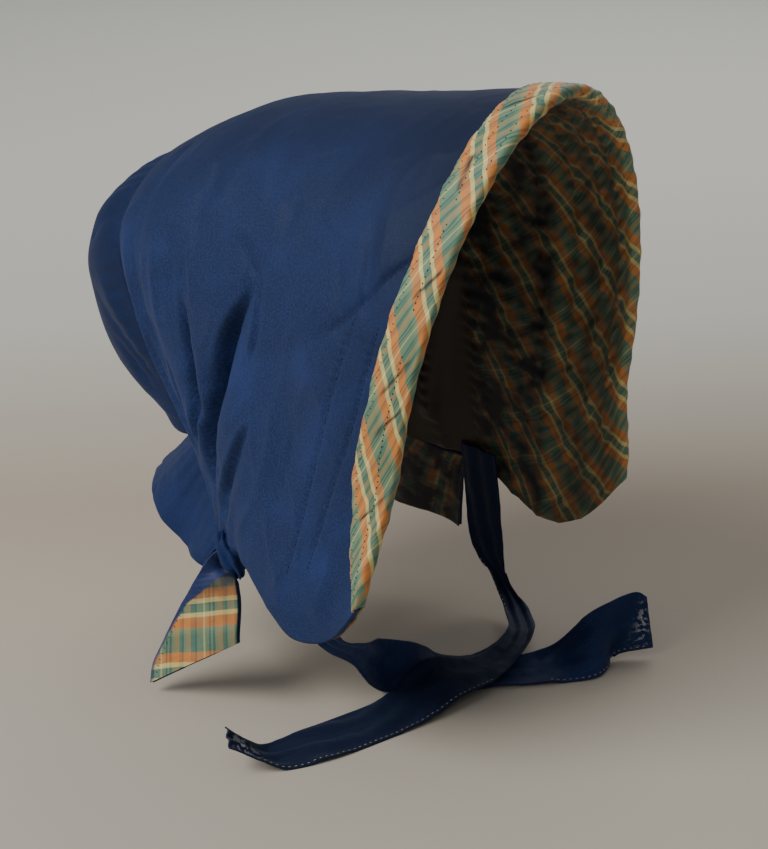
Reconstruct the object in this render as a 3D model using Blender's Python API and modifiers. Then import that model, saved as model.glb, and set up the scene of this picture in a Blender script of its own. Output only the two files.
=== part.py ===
"""Quilted silk hood: arched brim and gathered crown, plaid lining, neck curtain and two flat ties.

The wearer faces -Y, so the wearer's right is -X. The origin is where the inside of the crown rests on the head.
Lengths in the tables are millimetres; MM turns them into metres.
"""

import bmesh
import bpy
import numpy as np

MM = 0.001

# The tables count heights from a level below the crown; the head's seat is this far above it.
SEAT = (0.0, 0.0, 13.2)

# Cloth: the cover is silk over a thin wadding, the rest is one layer of silk with its seam allowances.
COVER_THICKNESS = 3.0
LINING_THICKNESS = 1.0
CURTAIN_THICKNESS = 1.5
TIE_THICKNESS = 1.0
CLOTH_GAP = 1.3
PANEL_LINING_GAP = 2.4

# Arches of the hood from the rolled brim edge to the back seam. Each one rises over the head from the wearer's
# right to the left: its crest is at top_y, top_z, it reaches half_width after falling by rise, and it ends at
# base_half, base_y, base_z. Squareness is that of a superellipse, and the sweep is the power by which the arch
# moves from top_y to base_y on the way down.
ARCH_COLUMNS = (
    "top_y", "top_z", "half_width", "rise", "squareness", "base_half", "base_y", "base_z", "sweep",
)
ARCHES = {
    "brim_roll":  (-169.0,  53.0, 105.0, 198.0, 1.90, 123.0, -126.0, -230.0, 1.0),
    "brim_fore":  (-141.0,  48.0, 110.0, 184.0, 1.95, 119.0, -101.0, -259.0, 1.1),
    "brim_break": (-102.0,  40.0, 109.0, 162.0, 2.00, 118.0,  -72.0, -268.0, 1.1),
    "crown_fore":  (-52.0,  29.0, 102.0, 138.0, 2.05, 115.0,  -48.0, -256.0, 1.0),
    "crown_mid":    (-2.0,  18.5,  98.0, 118.0, 2.10, 109.0,  -22.0, -238.0, 1.0),
    "crown_full":   (43.0,   7.0,  95.0, 104.0, 2.15,  98.0,    3.0, -232.0, 1.4),
    "crown_rear":   (80.0,  -8.5,  91.0,  88.0, 2.15,  85.0,   24.0, -226.0, 1.8),
    "crown_turn":  (104.0, -21.5,  84.0,  72.0, 2.15,  75.0,   42.0, -210.0, 2.0),
    "back_seam":   (114.0, -30.0,  77.0,  60.0, 2.15,  68.0,   60.0, -190.0, 2.2),
}

# Folds pressed into the cover and lining. Each runs between two places given as the share of the way from brim to
# back seam and of the way from crest to base, the wearer's right side being negative.
FOLD_COLUMNS = ("start_back", "start_round", "end_back", "end_round", "half_width", "start_depth", "end_depth")
FOLDS = {
    "deep_fold_upper":  (0.45, -0.455, 0.54, -0.675, 13.0, 2.0, 9.0),
    "deep_fold_lower":  (0.54, -0.675, 0.64, -0.900, 13.0, 9.0, 5.0),
    "rear_fold_upper":  (0.64, -0.525, 0.655, -0.71, 10.0, 1.5, 4.5),
    "rear_fold_lower":  (0.655, -0.71, 0.60, -0.850,  9.0, 4.5, 3.0),
    "nape_fold":        (0.51, -0.800, 0.60, -0.930,  9.0, 1.5, 4.0),
    "crown_pull":       (0.58, -0.210, 0.64, -0.480, 12.0, 0.5, 2.5),
    "shoulder_pull":    (0.80, -0.320, 0.78, -0.850, 11.0, 1.0, 3.0),
    "piecing_seam":     (0.10, -0.400, 0.275, -0.50,  8.0, 1.2, 1.0),
    "left_deep_fold":   (0.48,  0.520, 0.62,  0.900, 11.0, 2.0, 6.0),
    "left_rear_fold":   (0.68,  0.500, 0.66,  0.880, 10.0, 1.0, 4.0),
}
FOLD_SAMPLES = 24
FOLD_BLEND = 4.0
LINING_FOLD_SPREAD = 1.5

# The plaid band turned out over the brim: how far back it reaches at each place from crest to lappet.
BAND_COLUMNS = ("round", "back")
BAND = (
    (0.00, 0.130),
    (0.10, 0.115),
    (0.33, 0.105),
    (0.60, 0.122),
    (0.70, 0.138),
    (0.80, 0.110),
    (0.86, 0.095),
    (0.94, 0.050),
    (1.00, 0.012),
)

# Back panel: how far its middle stands out from the seam, its roundness and where the middle lies.
PANEL_BULGE = 70.0
PANEL_FULLNESS = 2.6
PANEL_MIDDLE = (0.0, 101.0, -115.0)
PANEL_OUTWARD = (0.0, 0.95, -0.31)
PANEL_SEAM_GAP = 1.9
PANEL_TUCK = 0.01
NAPE_SAG = 26.0

# Neck curtain from the far lappet round the nape to the free near end. Each row is a line across the strip: x, y
# and z of its gathered edge, then of its hem. The last five rows are the free end, turned over and hanging down.
CURTAIN = {
    "far_end":    (105.0, -11.0, -242.0, 111.0,  -4.0, -292.0),
    "far_side":    (92.0,  13.0, -234.2, 104.0,  44.0, -282.0),
    "far_nape":    (78.0,  40.0, -216.6,  90.0,  82.0, -262.0),
    "far_back":    (69.0,  60.5, -195.8,  66.0, 112.0, -236.0),
    "middle":       (0.0,  88.0, -194.6,   0.0, 140.0, -238.0),
    "near_back":  (-69.0,  60.5, -195.8, -66.0, 104.0, -234.0),
    "near_nape":  (-78.0,  40.0, -216.6, -82.0,  62.0, -254.0),
    "near_side":  (-93.0,  12.0, -234.6, -95.0,  29.0, -259.0),
    "edge_on":   (-101.0,  17.0, -250.0, -90.0,  10.0, -264.0),
    "turn":      (-104.0,  24.0, -267.0, -97.0,  -5.0, -259.0),
    "tail_upper": (-107.0, 32.0, -284.0, -101.0, -11.0, -272.0),
    "tail_lower": (-118.0, 44.0, -319.0, -105.0, -14.0, -287.0),
    "tail_end":   (-124.0, 43.0, -334.0, -106.0, -15.0, -294.0),
}
CURTAIN_WAVES = 9.0
CURTAIN_WAVE_DEPTH = 3.0
CURTAIN_WAVE_END = 0.6
CURTAIN_WAVE_FADE = 0.1

# Ties: each row is a line across the band, x, y and z of its front edge and then of its back edge. What lies on
# the surface under the hood comes no lower than TIE_LOWEST.
TIE_LOWEST = -339.5
TIE_RIGHT = {
    "sewn":         (-110.0, -62.0, -246.0, -110.0,  -88.0, -236.0),
    "under_lappet": (-110.0, -84.0, -269.0, -110.5, -102.0, -259.0),
    "falling":      (-86.0,  -89.0, -291.0,  -82.0,  -97.0, -276.0),
    "on_edge":      (-32.0,  -63.0, -339.0,  -33.0,  -64.0, -302.0),
    "leaning":      (-13.0,  -94.0, -339.2,    8.0,  -60.0, -323.0),
    "under_left":    (10.0, -104.0, -339.2,   28.0,  -66.0, -337.0),
    "past_left":     (40.0, -128.0, -339.0,   52.0,  -94.0, -337.5),
    "rising":        (57.0, -141.0, -339.0,   74.0, -112.0, -330.0),
    "standing":      (73.0, -150.0, -339.0,   88.0, -131.0, -306.0),
    "corner":       (100.0, -142.0, -337.0,  116.0, -142.0, -299.0),
    "end":          (118.0, -158.0, -333.0,  120.0, -150.0, -301.0),
}
TIE_LEFT = {
    "sewn":          (98.8,  -14.0, -226.0,  101.8,  -40.0, -230.0),
    "hanging":      (101.8,  -20.0, -290.0,  103.8,  -46.0, -293.0),
    "twisted":      (104.0,  -37.0, -316.0,  105.0,  -50.0, -316.0),
    "landing":       (88.0,  -62.0, -329.0,   97.0,  -75.0, -328.0),
    "turned":        (62.0,  -84.0, -326.0,   69.0, -100.0, -326.0),
    "over_right":    (30.0,  -84.0, -329.0,   22.0, -113.0, -331.0),
    "crossing":      (-8.0,  -78.0, -321.0,  -16.0, -112.0, -333.0),
    "stepping_down": (-34.0, -73.0, -335.0,  -42.0, -110.0, -338.0),
    "flat":         (-62.0,  -67.0, -339.0,  -74.0, -105.0, -339.0),
    "long_run":     (-99.0,  -61.0, -339.0, -112.0,  -98.0, -339.0),
    "lifted":      (-132.0,  -57.0, -338.0, -141.0,  -86.0, -339.0),
    "end":         (-157.0,  -54.0, -316.0, -166.0,  -66.0, -322.0),
}

# How far apart a surface is sampled for its normals, and how near to its ends.
NORMAL_STEP = 1e-3
NORMAL_MARGIN = 2e-3

# How finely each cloth is divided.
COVER_STEPS_BACK = 18
COVER_STEPS_ROUND = 36
ROLL_STEPS = 3
BAND_STEPS = 2
PANEL_RINGS = 5
CURTAIN_STEPS_ALONG = 48
CURTAIN_STEPS_ACROSS = 4
TIE_STEPS_ALONG = 38
TIE_STEPS_ACROSS = 3


def along_rows(rows, place):
    """Values of a table's columns at a place between its first row (0) and its last (1), on a smooth curve."""
    table = np.array(list(rows), dtype=float)
    last = len(table) - 1
    place = np.clip(np.asarray(place, dtype=float), 0.0, 1.0) * last
    index = np.minimum(place.astype(int), last - 1)
    step = (place - index)[..., None]
    before = table[np.maximum(index - 1, 0)]
    here = table[index]
    after = table[index + 1]
    beyond = table[np.minimum(index + 2, last)]
    slope_here = (after - before) / 2.0
    slope_after = (beyond - here) / 2.0
    square = step * step
    cube = square * step
    return (
        (2.0 * cube - 3.0 * square + 1.0) * here
        + (cube - 2.0 * square + step) * slope_here
        + (3.0 * square - 2.0 * cube) * after
        + (cube - square) * slope_after
    )


def unit(vectors):
    length = np.linalg.norm(vectors, axis=-1, keepdims=True)
    return vectors / np.maximum(length, 1e-9)


def arch_surface(back, round_):
    """Smooth outside of the hood; back runs from brim (0) to seam (1), round_ from right base (-1) to left (1)."""
    back, round_ = np.broadcast_arrays(np.asarray(back, float), np.asarray(round_, float))
    row = along_rows(ARCHES.values(), back)
    value = {name: row[..., column] for column, name in enumerate(ARCH_COLUMNS)}
    share = np.abs(round_)
    height = value["top_z"] - value["base_z"]
    arc = np.pi / 2.0 * np.sqrt((value["half_width"] ** 2 + value["rise"] ** 2) / 2.0)
    wall = height - value["rise"]
    split = arc / (arc + wall)
    angle = np.pi / 2.0 * np.minimum(share / split, 1.0)
    power = 2.0 / value["squareness"]
    spread = np.sin(angle) ** power
    fall = 1.0 - np.maximum(np.cos(angle), 0.0) ** power
    down_wall = np.maximum(share - split, 0.0) / (1.0 - split)
    ease = down_wall * down_wall * (3.0 - 2.0 * down_wall)
    half = value["half_width"] * spread + (value["base_half"] - value["half_width"]) * ease
    drop = value["rise"] * fall + wall * down_wall
    depth = drop / height
    y = value["top_y"] + (value["base_y"] - value["top_y"]) * depth ** value["sweep"]
    z = value["top_z"] - drop
    return np.stack([np.sign(round_) * half, y, z], axis=-1)


def surface_normal(surface, first, second, outward):
    """Unit normal of a surface function, pointing the way that the sign outward chooses."""
    first = np.clip(first, -1.0 + NORMAL_MARGIN, 1.0 - NORMAL_MARGIN)
    second = np.clip(second, -1.0 + NORMAL_MARGIN, 1.0 - NORMAL_MARGIN)
    along = surface(first + NORMAL_STEP, second) - surface(first - NORMAL_STEP, second)
    across = surface(first, second + NORMAL_STEP) - surface(first, second - NORMAL_STEP)
    return unit(np.cross(along, across)) * outward


def arch_normal(back, round_):
    return surface_normal(arch_surface, np.maximum(back, NORMAL_MARGIN), round_, -1.0)


def fold_depth(back, round_, spread):
    """How far the folds press the cloth inwards at each place; spread widens them for the cloth beneath."""
    total = np.zeros(np.shape(back))
    here = arch_surface(back, round_)
    share = np.linspace(0.0, 1.0, FOLD_SAMPLES)
    for row in FOLDS.values():
        fold = dict(zip(FOLD_COLUMNS, row))
        line = arch_surface(
            fold["start_back"] + (fold["end_back"] - fold["start_back"]) * share,
            fold["start_round"] + (fold["end_round"] - fold["start_round"]) * share,
        )
        away = np.linalg.norm(here[..., None, :] - line, axis=-1)
        nearest = np.min(away, axis=-1) / (fold["half_width"] * spread)
        depth = fold["start_depth"] + (fold["end_depth"] - fold["start_depth"]) * share[np.argmin(away, axis=-1)]
        total = total + (depth * np.exp(-(nearest ** 2))) ** FOLD_BLEND
    return total ** (1.0 / FOLD_BLEND)


def hood_surface(back, round_, inwards=0.0, spread=1.0):
    """Outside of the hood with its folds, moved inwards by the given distance."""
    move = fold_depth(back, round_, spread) + inwards
    return arch_surface(back, round_) - arch_normal(back, round_) * move[..., None]


def grid_mesh(name, points, closed_round=False):
    """A sheet of four-sided faces through a grid of points in millimetres."""
    rows, columns = points.shape[:2]
    vertices = ((points.reshape(-1, 3) - np.array(SEAT)) * MM).tolist()
    faces = []
    last_column = columns if closed_round else columns - 1
    for row in range(rows - 1):
        for column in range(last_column):
            beside = (column + 1) % columns
            faces.append(
                (
                    row * columns + column,
                    row * columns + beside,
                    (row + 1) * columns + beside,
                    (row + 1) * columns + column,
                )
            )
    mesh = bpy.data.meshes.new(name)
    mesh.from_pydata(vertices, [], faces)
    mesh.update()
    return mesh


def cloth(name, mesh, thickness, material, side=0.0):
    """A sheet made into a solid of the given thickness, shaded smooth."""
    node = bpy.data.objects.new(name, mesh)
    hood.objects.link(node)
    mesh.materials.append(material)
    for polygon in mesh.polygons:
        polygon.use_smooth = True
    solid = node.modifiers.new("thickness", "SOLIDIFY")
    solid.thickness = thickness * MM
    solid.offset = side
    return node


def silk(name, colour, roughness):
    material = bpy.data.materials.new(name)
    material.use_nodes = True
    shader = material.node_tree.nodes["Principled BSDF"]
    shader.inputs["Base Color"].default_value = (*colour, 1.0)
    shader.inputs["Roughness"].default_value = roughness
    shader.inputs["Sheen Weight"].default_value = 0.3
    return material


for old in list(bpy.data.objects):
    bpy.data.objects.remove(old, do_unlink=True)

hood = bpy.data.collections.new("quilted_hood")
bpy.context.scene.collection.children.link(hood)

navy_silk = silk("navy_silk", (0.012, 0.028, 0.095), 0.5)
panel_silk = silk("panel_silk", (0.011, 0.026, 0.088), 0.5)
curtain_silk = silk("curtain_silk", (0.012, 0.027, 0.09), 0.5)
right_tie_silk = silk("right_tie_silk", (0.008, 0.016, 0.045), 0.55)
left_tie_silk = silk("left_tie_silk", (0.008, 0.016, 0.043), 0.55)
plaid_silk = silk("plaid_silk", (0.22, 0.23, 0.15), 0.6)
plaid_panel = silk("plaid_panel", (0.2, 0.21, 0.14), 0.6)
plaid_curtain = silk("plaid_curtain", (0.24, 0.24, 0.16), 0.6)

back_steps = np.linspace(0.0, 1.0, COVER_STEPS_BACK + 1)
round_steps = np.linspace(-1.0, 1.0, COVER_STEPS_ROUND + 1)
back_grid, round_grid = np.meshgrid(back_steps, round_steps, indexing="ij")


# Cover: the wadded navy silk of brim and crown.
cover_points = hood_surface(back_grid, round_grid, COVER_THICKNESS / 2.0)
cloth("hood_cover", grid_mesh("hood_cover", cover_points), COVER_THICKNESS, navy_silk)


# Lining: from the back seam forward inside the cover, round the brim's edge and back over the outside as a band.
lining_depth = COVER_THICKNESS + CLOTH_GAP + LINING_THICKNESS / 2.0
band_height = CLOTH_GAP + LINING_THICKNESS / 2.0
inside_rows = hood_surface(back_grid[::-1], round_grid[::-1], lining_depth, LINING_FOLD_SPREAD)
edge_middle = hood_surface(np.zeros_like(round_steps), round_steps, COVER_THICKNESS / 2.0)
edge_normal = arch_normal(np.zeros_like(round_steps), round_steps)
edge_forward = unit(
    arch_surface(np.zeros_like(round_steps), round_steps)
    - arch_surface(np.full_like(round_steps, back_steps[1]), round_steps)
)
roll_radius = COVER_THICKNESS / 2.0 + CLOTH_GAP + LINING_THICKNESS / 2.0
roll_angles = np.linspace(0.0, np.pi, ROLL_STEPS + 2)[1:-1, None, None]
roll_rows = edge_middle + roll_radius * (
    np.sin(roll_angles) * edge_forward - np.cos(roll_angles) * edge_normal
)
band = dict(zip(BAND_COLUMNS, np.array(BAND).T))
band_reach = np.interp(np.abs(round_steps), band["round"], band["back"])
band_back = np.linspace(0.0, 1.0, BAND_STEPS + 1)[:, None] * band_reach
band_rows = hood_surface(band_back, np.broadcast_to(round_steps, band_back.shape), -band_height)
lining_points = np.concatenate([inside_rows, roll_rows, band_rows])
cloth("hood_lining", grid_mesh("hood_lining", lining_points), LINING_THICKNESS, plaid_silk)


# Back panel and its lining: a full, rounded horseshoe sewn edge to edge to the back seam and open at the nape.
def panel_rings():
    """Rings of the panel from its sewn outline to the tuck in its middle."""
    middle = np.array(PANEL_MIDDLE)
    outward = unit(np.array(PANEL_OUTWARD))
    seam = hood_surface(np.ones_like(round_steps), round_steps, COVER_THICKNESS / 2.0)
    share = np.linspace(0.0, 1.0, COVER_STEPS_ROUND // 2 + 1)[1:-1, None]
    nape = seam[-1] + (seam[0] - seam[-1]) * share
    nape[:, 1] += NAPE_SAG * np.sin(np.pi * share[:, 0])
    outline = np.concatenate([seam, nape]) + outward * PANEL_SEAM_GAP
    angle = np.linspace(0.0, np.pi / 2.0, PANEL_RINGS + 1)[:, None, None]
    reach = np.maximum(np.cos(angle), PANEL_TUCK) ** (2.0 / PANEL_FULLNESS)
    stand = np.sin(angle) ** (2.0 / PANEL_FULLNESS)
    return middle + (outline - middle) * reach + outward * PANEL_BULGE * stand


def panel_mesh(name, inwards):
    """The panel moved inwards along its normals, with the tuck in its middle closed."""
    rings = panel_rings()
    across = np.gradient(rings, axis=0)
    around = np.roll(rings, -1, axis=1) - np.roll(rings, 1, axis=1)
    normals = unit(np.cross(around, across))
    normals[-1] = unit(np.array(PANEL_OUTWARD))
    mesh = grid_mesh(name, rings - normals * inwards, closed_round=True)
    work = bmesh.new()
    work.from_mesh(mesh)
    work.verts.ensure_lookup_table()
    first = (len(rings) - 1) * len(rings[0])
    bmesh.ops.pointmerge(work, verts=work.verts[first:], merge_co=work.verts[first].co)
    work.to_mesh(mesh)
    work.free()
    return mesh


cloth("crown_back", panel_mesh("crown_back", 0.0), COVER_THICKNESS, panel_silk)
panel_lining_inwards = (COVER_THICKNESS + LINING_THICKNESS) / 2.0 + PANEL_LINING_GAP
cloth(
    "crown_back_lining",
    panel_mesh("crown_back_lining", panel_lining_inwards),
    LINING_THICKNESS,
    plaid_panel,
)


# Neck curtain: the strip gathered round the nape, waving more towards its hem.
def curtain_surface(along, across):
    along, across = np.broadcast_arrays(np.asarray(along, float), np.asarray(across, float))
    seam, hem = np.split(along_rows(CURTAIN.values(), along), 2, axis=-1)
    return seam + (hem - seam) * across[..., None]


def curtain_normal(along, across):
    along = np.maximum(along, NORMAL_MARGIN)
    across = np.maximum(across, NORMAL_MARGIN)
    return surface_normal(curtain_surface, along, across, -1.0)


def curtain_points(outwards):
    along = np.linspace(0.0, 1.0, CURTAIN_STEPS_ALONG + 1)[:, None]
    across = np.linspace(0.0, 1.0, CURTAIN_STEPS_ACROSS + 1)[None, :]
    along, across = np.broadcast_arrays(along, across)
    fade = np.clip((CURTAIN_WAVE_END - along) / CURTAIN_WAVE_FADE, 0.0, 1.0)
    wave = CURTAIN_WAVE_DEPTH * fade * across * np.sin(2.0 * np.pi * CURTAIN_WAVES * along)
    move = wave + outwards
    return curtain_surface(along, across) + curtain_normal(along, across) * move[..., None]


cloth("neck_curtain", grid_mesh("neck_curtain", curtain_points(0.0)), CURTAIN_THICKNESS, curtain_silk)
curtain_lining_inwards = (CURTAIN_THICKNESS + LINING_THICKNESS) / 2.0 + CLOTH_GAP
cloth(
    "curtain_lining",
    grid_mesh("curtain_lining", curtain_points(-curtain_lining_inwards)),
    LINING_THICKNESS,
    plaid_curtain,
)


# Ties: flat bands of silk sewn inside the lappets, the left one lying across the right.
def tie_points(rows):
    along = np.linspace(0.0, 1.0, TIE_STEPS_ALONG + 1)[:, None]
    across = np.linspace(0.0, 1.0, TIE_STEPS_ACROSS + 1)[None, :, None]
    front, rear = np.split(along_rows(rows.values(), along), 2, axis=-1)
    points = front + (rear - front) * across
    points[..., 2] = np.maximum(points[..., 2], TIE_LOWEST)
    return points


cloth("tie_right", grid_mesh("tie_right", tie_points(TIE_RIGHT)), TIE_THICKNESS, right_tie_silk)
cloth("tie_left", grid_mesh("tie_left", tie_points(TIE_LEFT)), TIE_THICKNESS, left_tie_silk)
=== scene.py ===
"""Looks of the quilted hood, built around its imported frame."""

import bpy
import numpy as np
from mathutils import Matrix, Vector, noise


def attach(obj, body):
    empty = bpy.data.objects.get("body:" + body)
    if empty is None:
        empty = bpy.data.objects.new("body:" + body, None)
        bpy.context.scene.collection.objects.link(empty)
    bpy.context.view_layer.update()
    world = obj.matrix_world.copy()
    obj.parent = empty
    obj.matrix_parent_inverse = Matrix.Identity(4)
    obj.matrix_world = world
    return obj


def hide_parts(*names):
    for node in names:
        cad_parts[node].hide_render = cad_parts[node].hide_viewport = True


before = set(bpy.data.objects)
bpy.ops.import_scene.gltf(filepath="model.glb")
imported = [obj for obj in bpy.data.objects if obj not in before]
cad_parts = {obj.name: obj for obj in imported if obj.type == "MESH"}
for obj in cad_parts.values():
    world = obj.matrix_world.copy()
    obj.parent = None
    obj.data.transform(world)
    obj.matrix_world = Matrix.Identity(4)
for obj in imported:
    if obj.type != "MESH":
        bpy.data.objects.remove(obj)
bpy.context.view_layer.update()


# The hood is seen from its right front corner and a little above, by a long lens, in soft light that comes
# mostly from the left and from above. The lights' values are place, width, power and colour.
camera_lens = bpy.data.cameras.new("studio_camera")
camera_lens.lens = 111.94
camera_lens.sensor_fit = "VERTICAL"
camera_lens.sensor_height = 36.0
camera = bpy.data.objects.new("studio_camera", camera_lens)
bpy.context.scene.collection.objects.link(camera)
camera.location = (-1.1025, -1.0287, 0.4072)
camera_target = Vector((0.0, -0.0361, -0.1922))
camera.rotation_euler = (camera_target - camera.location).to_track_quat("-Z", "Y").to_euler()
bpy.context.scene.camera = camera

SOFT_LIGHTS = {
    "softbox_left":  ((-1.60, 0.45, 1.15), 1.3, 43.0, (1.0, 0.985, 0.955)),
    "softbox_front": ((-1.75, -1.25, 1.0), 1.2, 2.6, (0.97, 0.985, 1.0)),
    "softbox_right": ((1.50, 0.40, 1.10), 1.5, 12.0, (1.0, 0.99, 0.97)),
    "softbox_top":   ((0.10, 0.90, 1.9), 1.8, 3.0, (1.0, 1.0, 1.0)),
}
LIGHTS_AIM = Vector((0.0, -0.04, -0.15))
for light_name, (place, width, power, colour) in SOFT_LIGHTS.items():
    lamp = bpy.data.lights.new(light_name, "AREA")
    lamp.size = width
    lamp.energy = power
    lamp.color = colour
    light = bpy.data.objects.new(light_name, lamp)
    bpy.context.scene.collection.objects.link(light)
    light.location = place
    light.rotation_euler = (LIGHTS_AIM - light.location).to_track_quat("-Z", "Y").to_euler()

world = bpy.context.scene.world or bpy.data.worlds.new("studio")
bpy.context.scene.world = world
world.use_nodes = True
world.node_tree.nodes["Background"].inputs["Color"].default_value = (0.82, 0.83, 0.86, 1.0)
world.node_tree.nodes["Background"].inputs["Strength"].default_value = 0.20


# Floor: a wide sheet of plain matt paper, which the hood stands over and its ties lie on. Its colour holds
# painted shade, darker and browner just behind the hood, and painted light, paler towards the back. The two
# classes mix its material and all the later ones.
FLOOR_LEVEL = -0.3534
FLOOR_SIZE = 14.0
# Painted shade and painted light of the floor, as colours along the view: darkest just behind the hood,
# palest far back.
PAPER_LIGHT_AND_SHADE = (
    (0.088, (0.540, 0.490, 0.415)), (0.252, (0.460, 0.390, 0.312)), (0.330, (0.520, 0.475, 0.405)),
    (0.430, (0.650, 0.630, 0.570)), (0.650, (0.780, 0.775, 0.710)), (0.957, (0.860, 0.865, 0.800)),
)
PAPER_AWAY = (0.7, 0.7, 0.0)
PAPER_START = 0.3
PAPER_LENGTH = 2.1


class Wire:
    """One output of a shader node that takes part in Python arithmetic; each operator adds a Math node."""

    def __init__(self, finish, socket):
        self.finish = finish
        self.socket = socket

    def math(self, operation, first, second):
        return self.finish.add("ShaderNodeMath", {"operation": operation}, {0: first, 1: second})

    def __add__(self, other):
        return self.math("ADD", self, other)

    def __radd__(self, other):
        return self.math("ADD", other, self)

    def __mul__(self, other):
        return self.math("MULTIPLY", self, other)

    def __rmul__(self, other):
        return self.math("MULTIPLY", other, self)

    def __truediv__(self, other):
        return self.math("DIVIDE", self, other)


class Finish:
    """A material while it is mixed: add() puts a node in it and hands back one of that node's outputs."""

    def __init__(self, name, constants):
        self.material = bpy.data.materials.new(name)
        self.material.use_nodes = True
        self.shader = self.material.node_tree.nodes["Principled BSDF"]
        for socket, value in constants.items():
            self.shader.inputs[socket].default_value = value

    def connect(self, socket, value):
        if isinstance(value, Wire):
            self.material.node_tree.links.new(value.socket, socket)
        else:
            socket.default_value = value

    def add(self, kind, settings, sockets, output=0):
        node = self.material.node_tree.nodes.new(kind)
        for name, value in settings.items():
            if name == "stops":
                ramp = node.color_ramp
                while len(ramp.elements) < len(value):
                    ramp.elements.new(1.0)
                for element, (position, colour) in zip(ramp.elements, value):
                    element.position = position
                    element.color = (*colour, 1.0)
            else:
                setattr(node, name, value)
        for name, value in sockets.items():
            self.connect(node.inputs[name], value)
        return Wire(self, node.outputs[output])

    def attribute(self, name):
        return self.add("ShaderNodeAttribute", {"attribute_name": name}, {}, "Fac")

    def mix(self, factor, first, second):
        settings = {"data_type": "RGBA", "clamp_factor": True}
        return self.add("ShaderNodeMix", settings, {0: factor, 6: first, 7: second}, 2)

    def between(self, value, low, high):
        settings = {"interpolation_type": "SMOOTHSTEP"}
        return self.add("ShaderNodeMapRange", settings, {0: value, 1: low, 2: high, 3: 0.0, 4: 1.0})

    def noise(self, coordinates, scale, detail=2.0):
        return self.add("ShaderNodeTexNoise", {}, {"Vector": coordinates, "Scale": scale, "Detail": detail})

    def surface(self, colour, roughness=None, height=None, relief=0.0):
        """What varies over the surface: its colour, its roughness and a fine relief, in metres."""
        self.connect(self.shader.inputs["Base Color"], colour)
        if roughness is not None:
            self.connect(self.shader.inputs["Roughness"], roughness)
        if height is not None:
            bump = self.add("ShaderNodeBump", {}, {"Distance": relief, "Height": height})
            self.connect(self.shader.inputs["Normal"], bump)
        return self.material


bpy.ops.object.select_all(action="DESELECT")
bpy.ops.mesh.primitive_plane_add(size=FLOOR_SIZE, location=(0.0, 0.0, FLOOR_LEVEL))
floor = bpy.context.object
floor.name = "floor"
paper = Finish("floor_paper", {"Roughness": 0.9})
paper_place = paper.add("ShaderNodeTexCoord", {}, {}, "Object")
paper_far = paper.add(
    "ShaderNodeVectorMath", {"operation": "DOT_PRODUCT"}, {0: paper_place, 1: PAPER_AWAY}, 1
)
paper_share = (paper_far + PAPER_START) / PAPER_LENGTH
paper_painted_light = paper.add("ShaderNodeValToRGB", {"stops": PAPER_LIGHT_AND_SHADE}, {0: paper_share})
floor.data.materials.append(paper.surface(paper_painted_light))


# Cover: one arched piece of navy silk over a thin wadding, deep in the brim and drawn in at the nape. It is
# stitched through in a few long lines, and the cloth puckers along them and folds towards the nape.
SEAT = np.array((0.0, 0.0, 13.2))
MM = 0.001
ARCH_COLUMNS = (
    "top_y", "top_z", "half_width", "rise", "squareness", "base_half", "base_y", "base_z", "sweep",
)
ARCHES = {
    "brim_roll":  (-169.0,  53.0, 105.0, 198.0, 1.90, 123.0, -126.0, -230.0, 1.0),
    "brim_fore":  (-141.0,  48.0, 110.0, 184.0, 1.95, 119.0, -101.0, -259.0, 1.1),
    "brim_break": (-102.0,  40.0, 109.0, 162.0, 2.00, 118.0,  -72.0, -268.0, 1.1),
    "crown_fore":  (-52.0,  29.0, 102.0, 138.0, 2.05, 115.0,  -48.0, -256.0, 1.0),
    "crown_mid":    (-2.0,  18.5,  98.0, 118.0, 2.10, 109.0,  -22.0, -238.0, 1.0),
    "crown_full":   (43.0,   7.0,  95.0, 104.0, 2.15,  98.0,    3.0, -232.0, 1.4),
    "crown_rear":   (80.0,  -8.5,  91.0,  88.0, 2.15,  85.0,   24.0, -226.0, 1.8),
    "crown_turn":  (104.0, -21.5,  84.0,  72.0, 2.15,  75.0,   42.0, -210.0, 2.0),
    "back_seam":   (114.0, -30.0,  77.0,  60.0, 2.15,  68.0,   60.0, -190.0, 2.2),
}
# Folds pressed into cloth and wadding: their two ends as back and round, half their width, and their depth at
# either end in millimetres.
FOLDS = {
    "deep_fold_upper":  (0.46, -0.455, 0.585, -0.675, 13.0, 2.0, 9.0),
    "deep_fold_lower":  (0.585, -0.675, 0.680, -0.900, 13.0, 9.0, 5.0),
    "rear_fold_upper":  (0.65, -0.525, 0.670, -0.71, 10.0, 1.5, 4.5),
    "rear_fold_lower":  (0.670, -0.71, 0.62, -0.850,  9.0, 4.5, 3.0),
    "nape_fold":        (0.51, -0.800, 0.60, -0.930,  9.0, 1.5, 4.0),
    "crown_pull":       (0.58, -0.210, 0.64, -0.480, 12.0, 0.5, 2.5),
    "shoulder_pull":    (0.80, -0.320, 0.78, -0.850, 11.0, 1.0, 3.0),
    "piecing_seam":     (0.10, -0.400, 0.275, -0.50,  8.0, 1.2, 1.0),
    "left_deep_fold":   (0.48,  0.520, 0.62,  0.900, 11.0, 2.0, 6.0),
    "left_rear_fold":   (0.68,  0.500, 0.66,  0.880, 10.0, 1.0, 4.0),
}
COVER_FOLD_SPREAD = 0.62
COVER_THICKNESS = 3.0
CLOTH_GAP = 1.3
LINING_THICKNESS = 1.0
HEM_SHARE = 0.015
HEM_ROUNDING = 0.6
FOLD_REACH = 40.0
COVER_STEPS_BACK = 176
COVER_STEPS_ROUND = 540


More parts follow.
